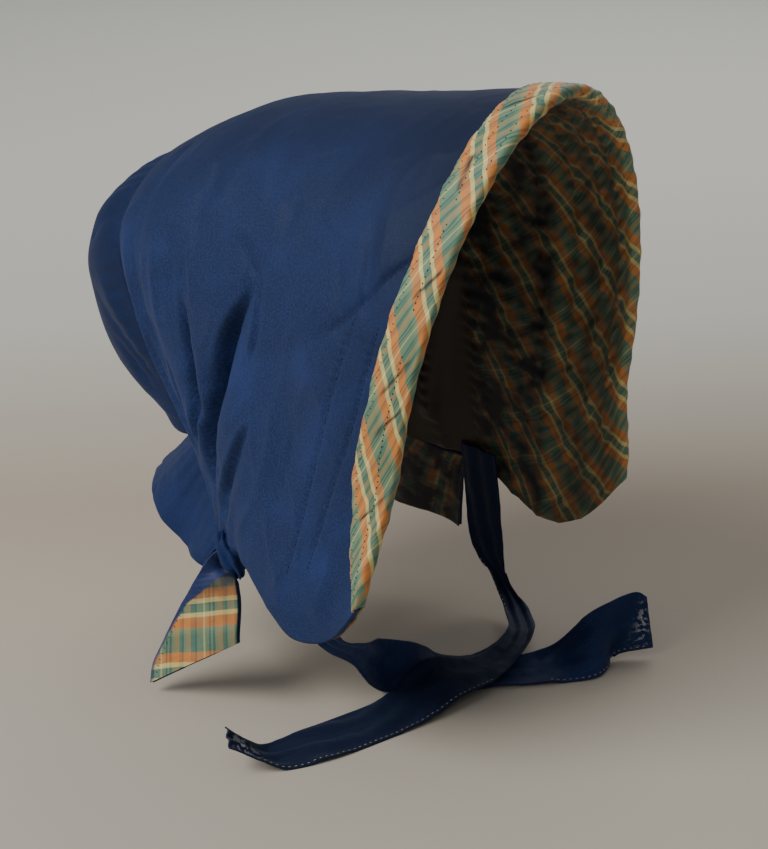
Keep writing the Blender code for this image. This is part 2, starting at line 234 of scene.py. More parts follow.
def along_rows(rows, place):
    """Values of a table's columns at a place between its first row (0) and last (1), on a smooth curve."""
    table = np.array(list(rows), dtype=float)
    last = len(table) - 1
    place = np.clip(np.asarray(place, dtype=float), 0.0, 1.0) * last
    index = np.minimum(place.astype(int), last - 1)
    step = (place - index)[..., None]
    before = table[np.maximum(index - 1, 0)]
    here = table[index]
    after = table[index + 1]
    beyond = table[np.minimum(index + 2, last)]
    slope_here = (after - before) / 2.0
    slope_after = (beyond - here) / 2.0
    square = step * step
    cube = square * step
    return (
        (2.0 * cube - 3.0 * square + 1.0) * here
        + (cube - 2.0 * square + step) * slope_here
        + (3.0 * square - 2.0 * cube) * after
        + (cube - square) * slope_after
    )


def unit(vectors):
    length = np.linalg.norm(vectors, axis=-1, keepdims=True)
    return vectors / np.maximum(length, 1e-9)


def arch_surface(back, round_):
    """Smooth outside of the hood in millimetres: brim (0) to seam (1), right base (-1) to left (1)."""
    back, round_ = np.broadcast_arrays(np.asarray(back, float), np.asarray(round_, float))
    row = along_rows(ARCHES.values(), back)
    value = {name: row[..., column] for column, name in enumerate(ARCH_COLUMNS)}
    share = np.abs(round_)
    height = value["top_z"] - value["base_z"]
    arc = np.pi / 2.0 * np.sqrt((value["half_width"] ** 2 + value["rise"] ** 2) / 2.0)
    wall = height - value["rise"]
    split = arc / (arc + wall)
    angle = np.pi / 2.0 * np.minimum(share / split, 1.0)
    power = 2.0 / value["squareness"]
    spread = np.sin(angle) ** power
    fall = 1.0 - np.maximum(np.cos(angle), 0.0) ** power
    down_wall = np.maximum(share - split, 0.0) / (1.0 - split)
    ease = down_wall * down_wall * (3.0 - 2.0 * down_wall)
    half = value["half_width"] * spread + (value["base_half"] - value["half_width"]) * ease
    drop = value["rise"] * fall + wall * down_wall
    depth = drop / height
    y = value["top_y"] + (value["base_y"] - value["top_y"]) * depth ** value["sweep"]
    z = value["top_z"] - drop
    return np.stack([np.sign(round_) * half, y, z], axis=-1) - SEAT


def surface_normal(surface, first, second):
    """Outward normals of a surface function."""
    first = np.clip(first, -0.998, 0.998)
    second = np.clip(second, -0.998, 0.998)
    along = surface(first + 0.001, second) - surface(first - 0.001, second)
    across = surface(first, second + 0.001) - surface(first, second - 0.001)
    return -unit(np.cross(along, across))


def arch_normal(back, round_):
    return surface_normal(arch_surface, np.maximum(back, 0.002), round_)


def line_distance(points, line, side=None):
    """Distance of each point from a line, the share of the way along it where it is nearest, and its length.

    Where directions to one side are given, distances on the other side are negative.
    """
    low = line.min(axis=0) - FOLD_REACH
    high = line.max(axis=0) + FOLD_REACH
    near = np.all((points > low) & (points < high), axis=-1)
    distance = np.full(points.shape[:-1], 1000.0)
    place = np.zeros(points.shape[:-1])
    nearest = np.argmin(np.linalg.norm(points[near][:, None, :] - line[None, :, :], axis=-1), axis=-1)
    tangent = unit(np.gradient(line, axis=0))[nearest]
    offset = points[near] - line[nearest]
    reach = np.linalg.norm(line[1] - line[0])
    offset = offset - tangent * np.clip(np.sum(offset * tangent, axis=-1), -reach, reach)[:, None]
    distance[near] = np.linalg.norm(offset, axis=-1)
    if side is not None:
        distance[near] = distance[near] * np.where(np.sum(offset * side[nearest], axis=-1) < 0.0, -1.0, 1.0)
    length = np.concatenate([[0.0], np.cumsum(np.linalg.norm(np.diff(line, axis=0), axis=-1))])
    place[near] = (length / length[-1])[nearest]
    return distance, place, length[-1]


def fold_depth(back, round_, spread=1.0):
    """How far the folds press the cloth inwards, in millimetres."""
    total = np.zeros(np.shape(back))
    here = arch_surface(back, round_)
    share = np.linspace(0.0, 1.0, 24)
    for start_back, start_round, end_back, end_round, half_width, start_depth, end_depth in FOLDS.values():
        line = arch_surface(
            start_back + (end_back - start_back) * share,
            start_round + (end_round - start_round) * share,
        )
        away, place, length = line_distance(here, line)
        depth = start_depth + (end_depth - start_depth) * place
        total = total + (depth * np.exp(-((away / (half_width * spread)) ** 2))) ** 4.0
    return total ** 0.25


def cloud(points, size, seed):
    """Smooth unevenness between -1 and 1 over points in millimetres, with lumps of the given size."""
    places = points.reshape(-1, 3) / size + seed
    values = [noise.noise(place) for place in places.tolist()]
    return np.array(values).reshape(points.shape[:-1])


# Long soft folds of the cover, each through three places, with its width and its height in millimetres: a
# ridge where the height is above 0, and a valley where it is below.
SOFT_FOLDS = (
    (((0.630, -0.375), (0.620, -0.465), (0.620, -0.535)), 5.0, 1.4),
    (((0.680, -0.375), (0.675, -0.470), (0.685, -0.545)), 6.0, -1.7),
    (((0.620, -0.300), (0.605, -0.390), (0.595, -0.475)), 3.0, -0.9),
    (((0.615, -0.200), (0.600, -0.270), (0.590, -0.335)), 4.0, -0.7),
    (((0.495, -0.385), (0.480, -0.425), (0.450, -0.455)), 7.0, -1.9),
    (((0.405, -0.295), (0.405, -0.350), (0.415, -0.400)), 5.0, -0.7),
    (((0.430, -0.300), (0.430, -0.350), (0.435, -0.400)), 6.0, 0.5),
    (((0.235, -0.320), (0.210, -0.390), (0.190, -0.470)), 6.0, -1.6),
    (((0.210, -0.300), (0.185, -0.370), (0.165, -0.440)), 6.0, 1.1),
    (((0.280, -0.380), (0.255, -0.435), (0.245, -0.470)), 3.0, -1.1),
    (((0.770, -0.430), (0.775, -0.540), (0.800, -0.600)), 5.0, 1.3),
    (((0.720, -0.360), (0.730, -0.500), (0.745, -0.640)), 6.0, 1.2),
    (((0.820, -0.350), (0.830, -0.500), (0.800, -0.700)), 6.0, -1.6),
    (((0.880, -0.420), (0.870, -0.600), (0.830, -0.850)), 5.0, 1.5),
    (((0.930, -0.500), (0.920, -0.680), (0.870, -0.920)), 5.0, -1.4),
    (((0.330, -0.620), (0.340, -0.720), (0.370, -0.830)), 9.0, -1.2),
    (((0.400, -0.640), (0.410, -0.740), (0.440, -0.840)), 9.0, 1.1),
    (((0.300, -0.860), (0.330, -0.920), (0.350, -0.970)), 8.0, 0.9),
    (((0.160, -0.800), (0.170, -0.880), (0.190, -0.960)), 8.0, 0.8),
    (((0.300, -0.120), (0.330, -0.230), (0.350, -0.330)), 10.0, -0.9),
    (((0.160, -0.100), (0.170, -0.200), (0.175, -0.290)), 9.0, 0.8),
    (((0.520, -0.080), (0.540, -0.170), (0.550, -0.260)), 9.0, 0.9),
    (((0.760, -0.100), (0.770, -0.220), (0.780, -0.330)), 8.0, -1.1),
    (((0.630, 0.300), (0.640, 0.465), (0.640, 0.600)), 6.0, 1.4),
    (((0.700, 0.320), (0.700, 0.500), (0.690, 0.700)), 6.0, -1.7),
    (((0.820, 0.300), (0.830, 0.500), (0.790, 0.800)), 6.0, 1.6),
    (((0.900, 0.380), (0.890, 0.600), (0.840, 0.900)), 5.0, -1.6),
    (((0.350, 0.350), (0.380, 0.500), (0.420, 0.650)), 8.0, -1.3),
    (((0.200, 0.320), (0.190, 0.430), (0.170, 0.520)), 7.0, -1.4),
    (((0.330, 0.620), (0.350, 0.760), (0.390, 0.900)), 9.0, 1.2),
)
# Pleats where the cloth laps over itself towards the nape: the places, the width, the rise of the upper cloth
# and the drop at its edge.
PLEATS = (
    (((0.450, -0.440), (0.472, -0.480), (0.538, -0.575), (0.588, -0.685), (0.624, -0.755), (0.652, -0.805),
      (0.684, -0.905), (0.670, -0.940)), 3.4, 1.6, 9.0),
    (((0.650, -0.500), (0.655, -0.620), (0.672, -0.725), (0.694, -0.795), (0.740, -0.870)), 2.8, 1.0, 6.0),
    (((0.462, -0.700), (0.510, -0.775), (0.570, -0.870), (0.618, -0.925)), 2.8, 0.8, 4.5),
    (((0.450, -0.430), (0.447, -0.480), (0.449, -0.535), (0.470, -0.600)), 1.8, 0.9, 2.6),
    (((0.760, -0.640), (0.750, -0.760), (0.740, -0.900)), 2.8, 1.0, 2.6),
    (((0.840, -0.620), (0.830, -0.760), (0.790, -0.920)), 3.0, 1.2, 2.6),
    (((0.480, 0.520), (0.540, 0.680), (0.620, 0.900)), 3.4, 1.8, 6.0),
    (((0.650, 0.520), (0.660, 0.700), (0.700, 0.850)), 3.0, 1.4, 4.5),
)
# Lines of quilting stitches, each through a few places. The left side's two lines mirror the right side's.
QUILTING = {
    "piecing": (
        (0.10, -0.40), (0.14, -0.415), (0.185, -0.445), (0.21, -0.465), (0.245, -0.485), (0.275, -0.50),
    ),
    "first_line": (
        (0.205, -0.47), (0.215, -0.54), (0.235, -0.615), (0.255, -0.71), (0.27, -0.785), (0.295, -0.895),
    ),
    "second_line": (
        (0.14, -0.49), (0.145, -0.56), (0.165, -0.65), (0.20, -0.755), (0.22, -0.83), (0.23, -0.87),
    ),
}
for line_name in ("first_line", "second_line"):
    QUILTING["left_" + line_name] = tuple((back, -round_) for back, round_ in QUILTING[line_name])


def smooth_line(places, count):
    """A line on the hood through the given (back, round) places, in millimetres."""
    places = along_rows(places, np.linspace(0.0, 1.0, count))
    return arch_surface(places[..., 0], places[..., 1])


def smooth_step(value):
    value = np.clip(value, 0.0, 1.0)
    return value * value * (3.0 - 2.0 * value)


def cover_relief(back, round_, points):
    """Height of the cover's folds, pleats, puckers and unevenness, in millimetres."""
    height = 0.8 * cloud(points, 44.0, 3.0) + 0.3 * cloud(points, 17.0, 11.0) + 0.1 * cloud(points, 6.0, 17.0)
    crest = np.exp(-((round_ / 0.4) ** 2)) * np.clip((1.0 - back) / 0.1, 0.0, 1.0)
    height = height + 2.6 * crest * np.exp(-(((back - 0.6) / 0.2) ** 2))
    creases = 1.0 - np.abs(cloud(points * np.array((1.0, 1.0, 0.45)), 26.0, 31.0)) * 3.0
    height = height + 0.7 * np.clip(creases, 0.0, 1.0) ** 2 * np.clip(np.abs(round_) / 0.2, 0.3, 1.0)
    for places, width, rise in SOFT_FOLDS:
        away, place, length = line_distance(points, smooth_line(places, 50))
        fade = np.sin(np.pi * np.clip(place, 0.0, 1.0)) ** 0.8
        height = height + 1.6 * rise * fade * np.exp(-np.abs(away / (0.8 * width)) ** 1.25)
    for places, width, rise, drop in PLEATS:
        line_places = along_rows(places, np.linspace(0.0, 1.0, 140))
        line = arch_surface(line_places[..., 0], line_places[..., 1])
        rearwards = arch_surface(line_places[..., 0] + 0.02, line_places[..., 1]) - line
        behind, place, length = line_distance(points, line, rearwards)
        fade = smooth_step(place / 0.30) * smooth_step((1.0 - place) / 0.20)
        breadth = width * (0.45 + 0.55 * fade)
        lap = rise * np.exp(-(((behind - 1.6 * breadth) / (1.3 * breadth)) ** 2))
        edge = drop * np.exp(-np.abs(behind / breadth) ** 2.6)
        height = height + fade * (lap - edge)
    for places in QUILTING.values():
        away, place, length = line_distance(points, smooth_line(places, 200))
        run = place * length
        ripple = np.cos(2.0 * np.pi * run / 5.4 + 1.7 * np.sin(run / 11.0))
        fade = np.clip(place / 0.1, 0.0, 1.0) * np.clip((1.0 - place) / 0.1, 0.0, 1.0)
        puckers = 0.30 * ripple * np.exp(-((away / 4.5) ** 2))
        height = height + fade * (puckers - 1.1 * np.exp(-((away / 1.6) ** 2)))
    gather = np.clip((np.abs(round_) - 0.82) / 0.18, 0.0, 1.0) ** 2 * np.clip((back - 0.46) / 0.12, 0.0, 1.0)
    height = height + 1.5 * gather * np.sin(back * 2.0 * np.pi * 13.0 + 3.0 * cloud(points, 26.0, 5.0))
    return height


def pleat_depth(back, round_):
    """How far the pleats press the lining inwards behind the cover, in millimetres."""
    points = arch_surface(back, round_)
    depth = np.zeros(points.shape[:-1])
    for places, width, rise, drop in PLEATS:
        away, place, length = line_distance(points, smooth_line(places, 60))
        pressed = (drop + 1.0) * smooth_step(place / 0.25) * np.exp(-((away / (2.2 * width)) ** 4))
        depth = np.maximum(depth, pressed)
    return depth


def hood_surface(back, round_, inwards=0.0, spread=1.0):
    """The hood with its folds, widened by the given spread, and moved inwards by the given millimetres."""
    move = fold_depth(back, round_, spread) + inwards
    return arch_surface(back, round_) - arch_normal(back, round_) * move[..., None]


def thread_lengths(points):
    """Distances along and across the threads of a sheet, in millimetres, counted from its middle column."""
    across = np.linalg.norm(np.diff(points, axis=1), axis=-1)
    along = np.linalg.norm(np.diff(points, axis=0), axis=-1)
    u = np.concatenate([np.zeros((len(points), 1)), np.cumsum(across, axis=1)], axis=1)
    v = np.concatenate([np.zeros((1, points.shape[1])), np.cumsum(along, axis=0)], axis=0)
    return np.stack([u - u[:, points.shape[1] // 2][:, None], v], axis=-1)


def map_threads(sheet, lengths):
    """Makes the piece's UV map a map of its thread lengths, turned from millimetres into metres."""
    corner = np.empty(len(sheet.data.loops), dtype=np.int32)
    sheet.data.loops.foreach_get("vertex_index", corner)
    sheet.data.uv_layers[0].name = "threads"
    sheet.data.uv_layers[0].data.foreach_set("uv", (lengths.reshape(-1, 2) * MM)[corner].ravel())


def cloth_grid(name, rows, columns, points, lengths):
    """A sheet of cloth laid through a grid of points, with a map of its thread lengths in metres."""
    bpy.ops.object.select_all(action="DESELECT")
    bpy.ops.mesh.primitive_grid_add(x_subdivisions=columns, y_subdivisions=rows, size=2.0)
    sheet = bpy.context.object
    sheet.name = name
    sheet.data.name = name
    sheet.data.vertices.foreach_set("co", (points.reshape(-1, 3) * MM).ravel())
    map_threads(sheet, lengths)
    sheet.data.update()
    return sheet


def paint(sheet, name, values):
    """Keeps one number for each point of a sheet, for its material to read."""
    layer = sheet.data.attributes.new(name, "FLOAT", "POINT")
    layer.data.foreach_set("value", np.asarray(values, dtype=np.float32).ravel())


def select_only(piece):
    bpy.ops.object.select_all(action="DESELECT")
    piece.select_set(True)
    bpy.context.view_layer.objects.active = piece


def thicken(sheet, thickness):
    """Gives a sheet its thickness in millimetres, half to either side, and shades it smooth."""
    select_only(sheet)
    wall = sheet.modifiers.new("thickness", "SOLIDIFY")
    wall.thickness = thickness * MM
    wall.offset = 0.0
    bpy.ops.object.modifier_apply(modifier="thickness")
    bpy.ops.object.shade_smooth()


def turned_edge(steps, low, high):
    """Places from edge to edge of the cloth, and how deep its turned-in hems lie, in millimetres."""
    inner = np.array([low + 2.0 * HEM_SHARE, low + HEM_SHARE, low])
    outer = np.array([high, high - HEM_SHARE, high - 2.0 * HEM_SHARE])
    places = np.concatenate([inner, np.linspace(low, high, steps - 5), outer])
    inwards = np.zeros(len(places))
    inwards[:3] = COVER_THICKNESS
    inwards[-3:] = (HEM_ROUNDING, COVER_THICKNESS, COVER_THICKNESS)
    return places, inwards


back_places, back_inwards = turned_edge(COVER_STEPS_BACK, 0.0, 1.0)
round_places, round_inwards = turned_edge(COVER_STEPS_ROUND, -1.0, 1.0)
cover_back, cover_round = np.meshgrid(back_places, round_places, indexing="ij")
cover_inwards = np.maximum(back_inwards[:, None], round_inwards[None, :])
cover_smooth = arch_surface(cover_back, cover_round)
cover_height = cover_relief(cover_back, cover_round, cover_smooth)
cover_lift = np.where(cover_inwards > 0.0, -cover_inwards, cover_height)
cover_folded = hood_surface(cover_back, cover_round, 0.0, COVER_FOLD_SPREAD)
cover_points = cover_folded + arch_normal(cover_back, cover_round) * cover_lift[..., None]
cover = cloth_grid(
    "hood_cover_silk", COVER_STEPS_BACK, COVER_STEPS_ROUND, cover_points, thread_lengths(cover_smooth)
)
bpy.ops.object.shade_smooth()


SILK_GLOSS = {
    "Sheen Weight": 0.06,
    "Sheen Roughness": 0.5,
    "Sheen Tint": (0.5, 0.65, 1.0, 1.0),
    "Specular IOR Level": 0.2,
    "Specular Tint": (0.64, 0.76, 1.0, 1.0),
}
SILK_CREASES = {"Scale": 17.0, "Detail": 4.0, "Roughness": 0.5, "Lacunarity": 2.2, "Distortion": 0.5}
CREASE_RELIEF = 0.0014
FINE_WEAVE = 0.0002
SOFT_WEAVE = 0.0003
SHADED_SILK = (0.0080, 0.0125, 0.034, 1.0)
FRAYED_SILK = (0.42, 0.43, 0.46, 1.0)


def silk_finish(name, colour, dark, weave, worn=False):
    """Plain silk: a faint mottle, slubs along the threads, crisp creases, pale frays where it is worn, and
    painted shade where its piece carries it.
    """
    silk = Finish(name, SILK_GLOSS)
    threads = silk.add("ShaderNodeUVMap", {"uv_map": "threads"}, {})
    along = silk.add("ShaderNodeMapping", {}, {"Vector": threads, "Scale": (160.0, 2600.0, 1.0)})
    across = silk.add("ShaderNodeMapping", {}, {"Vector": threads, "Scale": (2600.0, 160.0, 1.0)})
    slub = silk.noise(along, 1.0, 3.0)
    weft = silk.noise(across, 1.0, 3.0)
    mottle = silk.noise(threads, 22.0, 6.0)
    wear = silk.between(mottle, 0.42, 0.75)
    tone = silk.mix(wear, (*dark, 1.0), (*colour, 1.0))
    grain = slub * 0.6 + weft * 0.4
    tone = silk.mix(silk.between(grain, 0.3, 0.75) * 0.45, tone, (*[c * 1.5 for c in colour], 1.0))
    speckle = silk.noise(threads, 800.0, 3.0)
    tone = silk.mix(silk.between(speckle, 0.4, 0.7) * 0.4, tone, (*[c * 2.0 for c in colour], 1.0))
    if worn:
        patches = silk.between(silk.noise(threads, 260.0, 4.0), 0.50, 0.56) * silk.attribute("worn")
        tone = silk.mix(patches, tone, FRAYED_SILK)
    # Painted shade: where a piece carries it, a painted attribute darkens the silk's colour.
    tone = silk.mix(silk.attribute("dulled"), tone, SHADED_SILK)
    roughness = 0.5 + mottle * 0.16
    creased = silk.add(
        "ShaderNodeTexNoise", {"noise_type": "RIDGED_MULTIFRACTAL"}, {"Vector": threads, **SILK_CREASES}
    )
    height = grain * (weave / CREASE_RELIEF) + creased * 0.7
    return silk.surface(tone, roughness, height, relief=CREASE_RELIEF)


COVER_NAVY = (0.0160, 0.0310, 0.112)
COVER_DARK = (0.0098, 0.0180, 0.052)
cover.data.materials.append(silk_finish("navy_silk_look", COVER_NAVY, COVER_DARK, FINE_WEAVE))
# Painted shade on the cover: its colour is darkened along the crest and at the near front of the brim.
crest_painted_shade = 0.75 * np.exp(-((cover_round / 0.30) ** 2))
brim_painted_shade = 0.70 * np.exp(-((cover_back / 0.22) ** 2)) * np.exp(-(((cover_round + 0.3) / 0.35) ** 2))
paint(cover, "dulled", np.clip(crest_painted_shade + brim_painted_shade, 0.0, 0.88))
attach(cover, "root")
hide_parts("hood_cover")


# Quilting stitches: small running stitches of navy thread that hold cover, wadding and lining together. They
# are sunk in the puckered lines of the cover.
QUILTING_STEP = 3.1
QUILTING_STITCH = (2.3, 0.6, 0.5)
NAVY_THREAD = (0.004, 0.007, 0.014, 1.0)


def thread_steps(line, normals, step):
    """Places every so many millimetres along a line, each with the line's direction and the normal there."""
    run = np.concatenate([[0.0], np.cumsum(np.linalg.norm(np.diff(line, axis=0), axis=-1))])
    stops = np.arange(step / 2.0, run[-1], step)
    index = np.clip(np.searchsorted(run, stops), 1, len(line) - 1)
    share = ((stops - run[index - 1]) / (run[index] - run[index - 1]))[:, None]
    places = line[index - 1] + (line[index] - line[index - 1]) * share
    return places, unit(line[index] - line[index - 1]), normals[index]


def thread_stitches(name, steps, size, look, across=False):
    """Copies of one short stitch, its length, width and height given in millimetres, joined into a piece."""
    bpy.ops.object.select_all(action="DESELECT")
    bpy.ops.mesh.primitive_uv_sphere_add(segments=6, ring_count=4, radius=0.5 * MM)
    pattern = bpy.context.object
    copies = []
    for places, directions, normals in steps:
        for place, direction, normal in zip(places, directions, normals):
            side = np.cross(normal, direction)
            first, second = (side, direction) if across else (direction, side)
            turn = Matrix([first * size[0], second * size[1], normal * size[2]]).transposed().to_4x4()
            copy = bpy.data.objects.new(name, pattern.data.copy())
            copy.data.transform(Matrix.Translation(Vector(place) * MM) @ turn)
            bpy.context.scene.collection.objects.link(copy)
            copies.append(copy)
    bpy.data.objects.remove(pattern)
    for copy in copies:
        copy.select_set(True)
    bpy.context.view_layer.objects.active = copies[0]
    bpy.ops.object.join()
    copies[0].name = name
    copies[0].data.materials.append(look)
    bpy.ops.object.shade_smooth()
    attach(copies[0], "root")


dark_thread = Finish("dark_thread_look", {"Base Color": NAVY_THREAD, "Roughness": 0.7}).material
quilting_steps = []
for places in QUILTING.values():
    line_places = along_rows(places, np.linspace(0.0, 1.0, 160))
    line_back, line_round = line_places[..., 0], line_places[..., 1]
    relief = cover_relief(line_back, line_round, arch_surface(line_back, line_round)) + 0.1
    line_normals = arch_normal(line_back, line_round)
    line = hood_surface(line_back, line_round, 0.0, COVER_FOLD_SPREAD) + line_normals * relief[..., None]
    quilting_steps.append(thread_steps(line, line_normals, QUILTING_STEP))
thread_stitches("quilting_stitches", quilting_steps, QUILTING_STITCH, dark_thread)


# Lining: plaid silk cut on the bias, inside brim and crown. At the front it rolls outwards over the brim's
# edge and is whipped down on the outside as a band about 25 mm wide. The band's reach over the cover is given
# from crest (0) to base (1).
BAND = (
    (0.00, 0.130), (0.10, 0.115), (0.33, 0.105), (0.60, 0.122), (0.70, 0.138), (0.80, 0.110), (0.86, 0.095),
    (0.94, 0.050), (1.00, 0.012),
)
BAND_WIDTH = 25.0
BAND_GIRTH = 400.0
WHIPPED_GIRTH = 420.0
LINING_FOLD_SPREAD = 1.5
LINING_STEPS_INSIDE = 90
LINING_STEPS_ROLL = 8
LINING_STEPS_BAND = 16
LINING_STEPS_ROUND = 350
inside_back = np.linspace(1.0, 0.0, LINING_STEPS_INSIDE + 1)
inside_round = np.linspace(1.0, -1.0, LINING_STEPS_ROUND + 1)
lining_back, lining_round = np.meshgrid(inside_back, inside_round, indexing="ij")
edge_round = np.linspace(-1.0, 1.0, LINING_STEPS_ROUND + 1)
QUILT_ROWS = (0.06, 0.13, 0.20, 0.28, 0.37, 0.47, 0.60)
QUILT_ROW_LENGTH = 380.0
QUILTED_DEPTH = 290.0


def quilting_pucker(back, round_, points):
    """Rows of quilting that run from crest to base inside the brim, drawing the lining into small puckers."""
    height = 0.5 * cloud(points, 18.0, 7.0) + 0.3 * cloud(points, 8.0, 2.0)
    along = np.abs(round_) * QUILT_ROW_LENGTH
    for number, row in enumerate(QUILT_ROWS):
        wander = row + 0.008 * np.sin(along / 40.0 + number)
        away = (back - wander) * QUILTED_DEPTH
        ripple = np.sin(2.0 * np.pi * along / 11.0 + number * 1.7 + np.sin(along / 23.0))
        height = height - 2.0 * np.exp(-((away / 3.2) ** 2)) + 0.9 * ripple * np.exp(-((away / 8.0) ** 2))
    return height


def band_reach(round_):
    """How far back the band reaches over the cover, with a slight unevenness."""
    table = np.array(BAND)
    wave = 0.0015 * np.sin(np.abs(round_) * 71.0) + 0.0015 * np.sin(np.abs(round_) * 133.0 + 1.0)
    reach = np.interp(np.abs(round_), table[:, 0], table[:, 1])
    return reach + wave * np.clip((1.0 - np.abs(round_)) * 8.0, 0.0, 1.0)


def brim_forward(round_):
    """Directions that lead forwards out of the brim at its edge."""
    edge = np.zeros_like(round_)
    return unit(arch_surface(edge, round_) - arch_surface(edge + 0.05, round_))


def lining_surface(puckered):
    """The lining from its back edge, through the roll at the brim, to the band's whipped edge."""
    depth = COVER_THICKNESS + CLOTH_GAP + LINING_THICKNESS / 2.0
    pressed = depth + pleat_depth(lining_back, lining_round)
    inside = hood_surface(lining_back, lining_round, pressed, LINING_FOLD_SPREAD)
    puckers = quilting_pucker(lining_back, lining_round, arch_surface(lining_back, lining_round))
    fade = puckered * np.clip(lining_back / 0.04, 0.0, 1.0)
    inside = inside + arch_normal(lining_back, lining_round) * (puckers * fade)[..., None]
    edge = np.zeros_like(edge_round)
    middle = hood_surface(edge, edge_round, COVER_THICKNESS / 2.0)
    normal = arch_normal(edge, edge_round)
    forward = brim_forward(edge_round)
    radius = COVER_THICKNESS / 2.0 + CLOTH_GAP + LINING_THICKNESS / 2.0
    angle = np.linspace(0.0, np.pi, LINING_STEPS_ROLL + 2)[1:-1, None, None]
    uneven = 0.35 * np.sin(edge_round * 95.0) + 0.25 * np.sin(edge_round * 171.0 + 2.0)
    roll = middle + (radius + uneven[:, None]) * (np.sin(angle) * forward - np.cos(angle) * normal)
    share = np.linspace(0.0, 1.0, LINING_STEPS_BAND + 1)[:, None]
    band_back = share * band_reach(edge_round)
    band_round = np.broadcast_to(edge_round, band_back.shape)
    outside = hood_surface(band_back, band_round, -(CLOTH_GAP + LINING_THICKNESS / 2.0))
    smooth = arch_surface(band_back, band_round)
    arc = np.abs(band_round) * WHIPPED_GIRTH
    scallop = np.cos(2.0 * np.pi * arc / 4.6) * np.clip(share * 3.0 - 2.0, 0.0, 1.0) * 0.2
    bulge = 0.5 * np.sin(np.pi * share) + 0.5 * cloud(smooth, 11.0, 4.0) * np.sin(np.pi * share)
    hem = -0.9 * np.clip(share * 8.0 - 7.0, 0.0, 1.0)
    lift = puckered * (scallop + bulge + hem) * np.clip(share * 6.0, 0.0, 1.0)
    outside = outside + arch_normal(band_back, band_round) * lift[..., None]
    return np.concatenate([inside, roll[:, ::-1], outside[:, ::-1]])


lining_rows = LINING_STEPS_INSIDE + LINING_STEPS_ROLL + LINING_STEPS_BAND + 1
BRIM_ROW = LINING_STEPS_INSIDE + 5
lining_points = lining_surface(1.0)
lining_lengths = thread_lengths(lining_surface(0.0))
lining_depth = lining_lengths[..., 1]
lining_depth -= lining_depth[BRIM_ROW]
edge_steps = np.diff(lining_lengths[BRIM_ROW, :, 0])
edge_steps = edge_steps * (1.0 - 0.32 * smooth_step((0.30 - lining_round[0, 1:]) / 0.9))
lining_lengths[..., 0] = np.concatenate([[0.0], np.cumsum(edge_steps)])
lining = cloth_grid("hood_lining_plaid", lining_rows, LINING_STEPS_ROUND, lining_points, lining_lengths)

TEAL = (0.085, 0.205, 0.145)
PALE_TEAL = (0.230, 0.330, 0.190)
CREAM = (0.950, 0.760, 0.270)
ORANGE = (0.780, 0.200, 0.014)
DARK_GREEN = (0.020, 0.070, 0.060)
OCHRE = (0.600, 0.310, 0.080)
SOILED = (0.20, 0.16, 0.10, 1.0)
THREAD_SHADOW = (0.06, 0.08, 0.06, 1.0)
SHADE_TONE = (0.005, 0.007, 0.012, 1.0)
# Stripes over one repeat, with the places where colours start and end.
WARP_STRIPES = (
    (0.00, TEAL), (0.145, TEAL), (0.155, ORANGE), (0.30, ORANGE), (0.31, CREAM), (0.375, CREAM),
    (0.385, TEAL), (0.52, TEAL), (0.53, CREAM), (0.595, CREAM), (0.605, ORANGE), (0.765, ORANGE),
    (0.775, PALE_TEAL), (0.90, TEAL),
)
WEFT_STRIPES = (
    (0.00, PALE_TEAL), (0.05, PALE_TEAL), (0.06, CREAM), (0.09, CREAM), (0.10, PALE_TEAL), (0.18, PALE_TEAL),
    (0.19, DARK_GREEN), (0.220, DARK_GREEN), (0.230, PALE_TEAL), (0.27, PALE_TEAL), (0.28, DARK_GREEN),
    (0.320, DARK_GREEN), (0.330, PALE_TEAL), (0.42, OCHRE), (0.50, OCHRE), (0.51, TEAL), (0.56, TEAL),
    (0.57, DARK_GREEN), (0.600, DARK_GREEN), (0.61, PALE_TEAL), (0.72, OCHRE), (0.76, OCHRE), (0.77, TEAL),
    (0.86, TEAL), (0.87, DARK_GREEN), (0.900, DARK_GREEN), (0.91, PALE_TEAL),
)


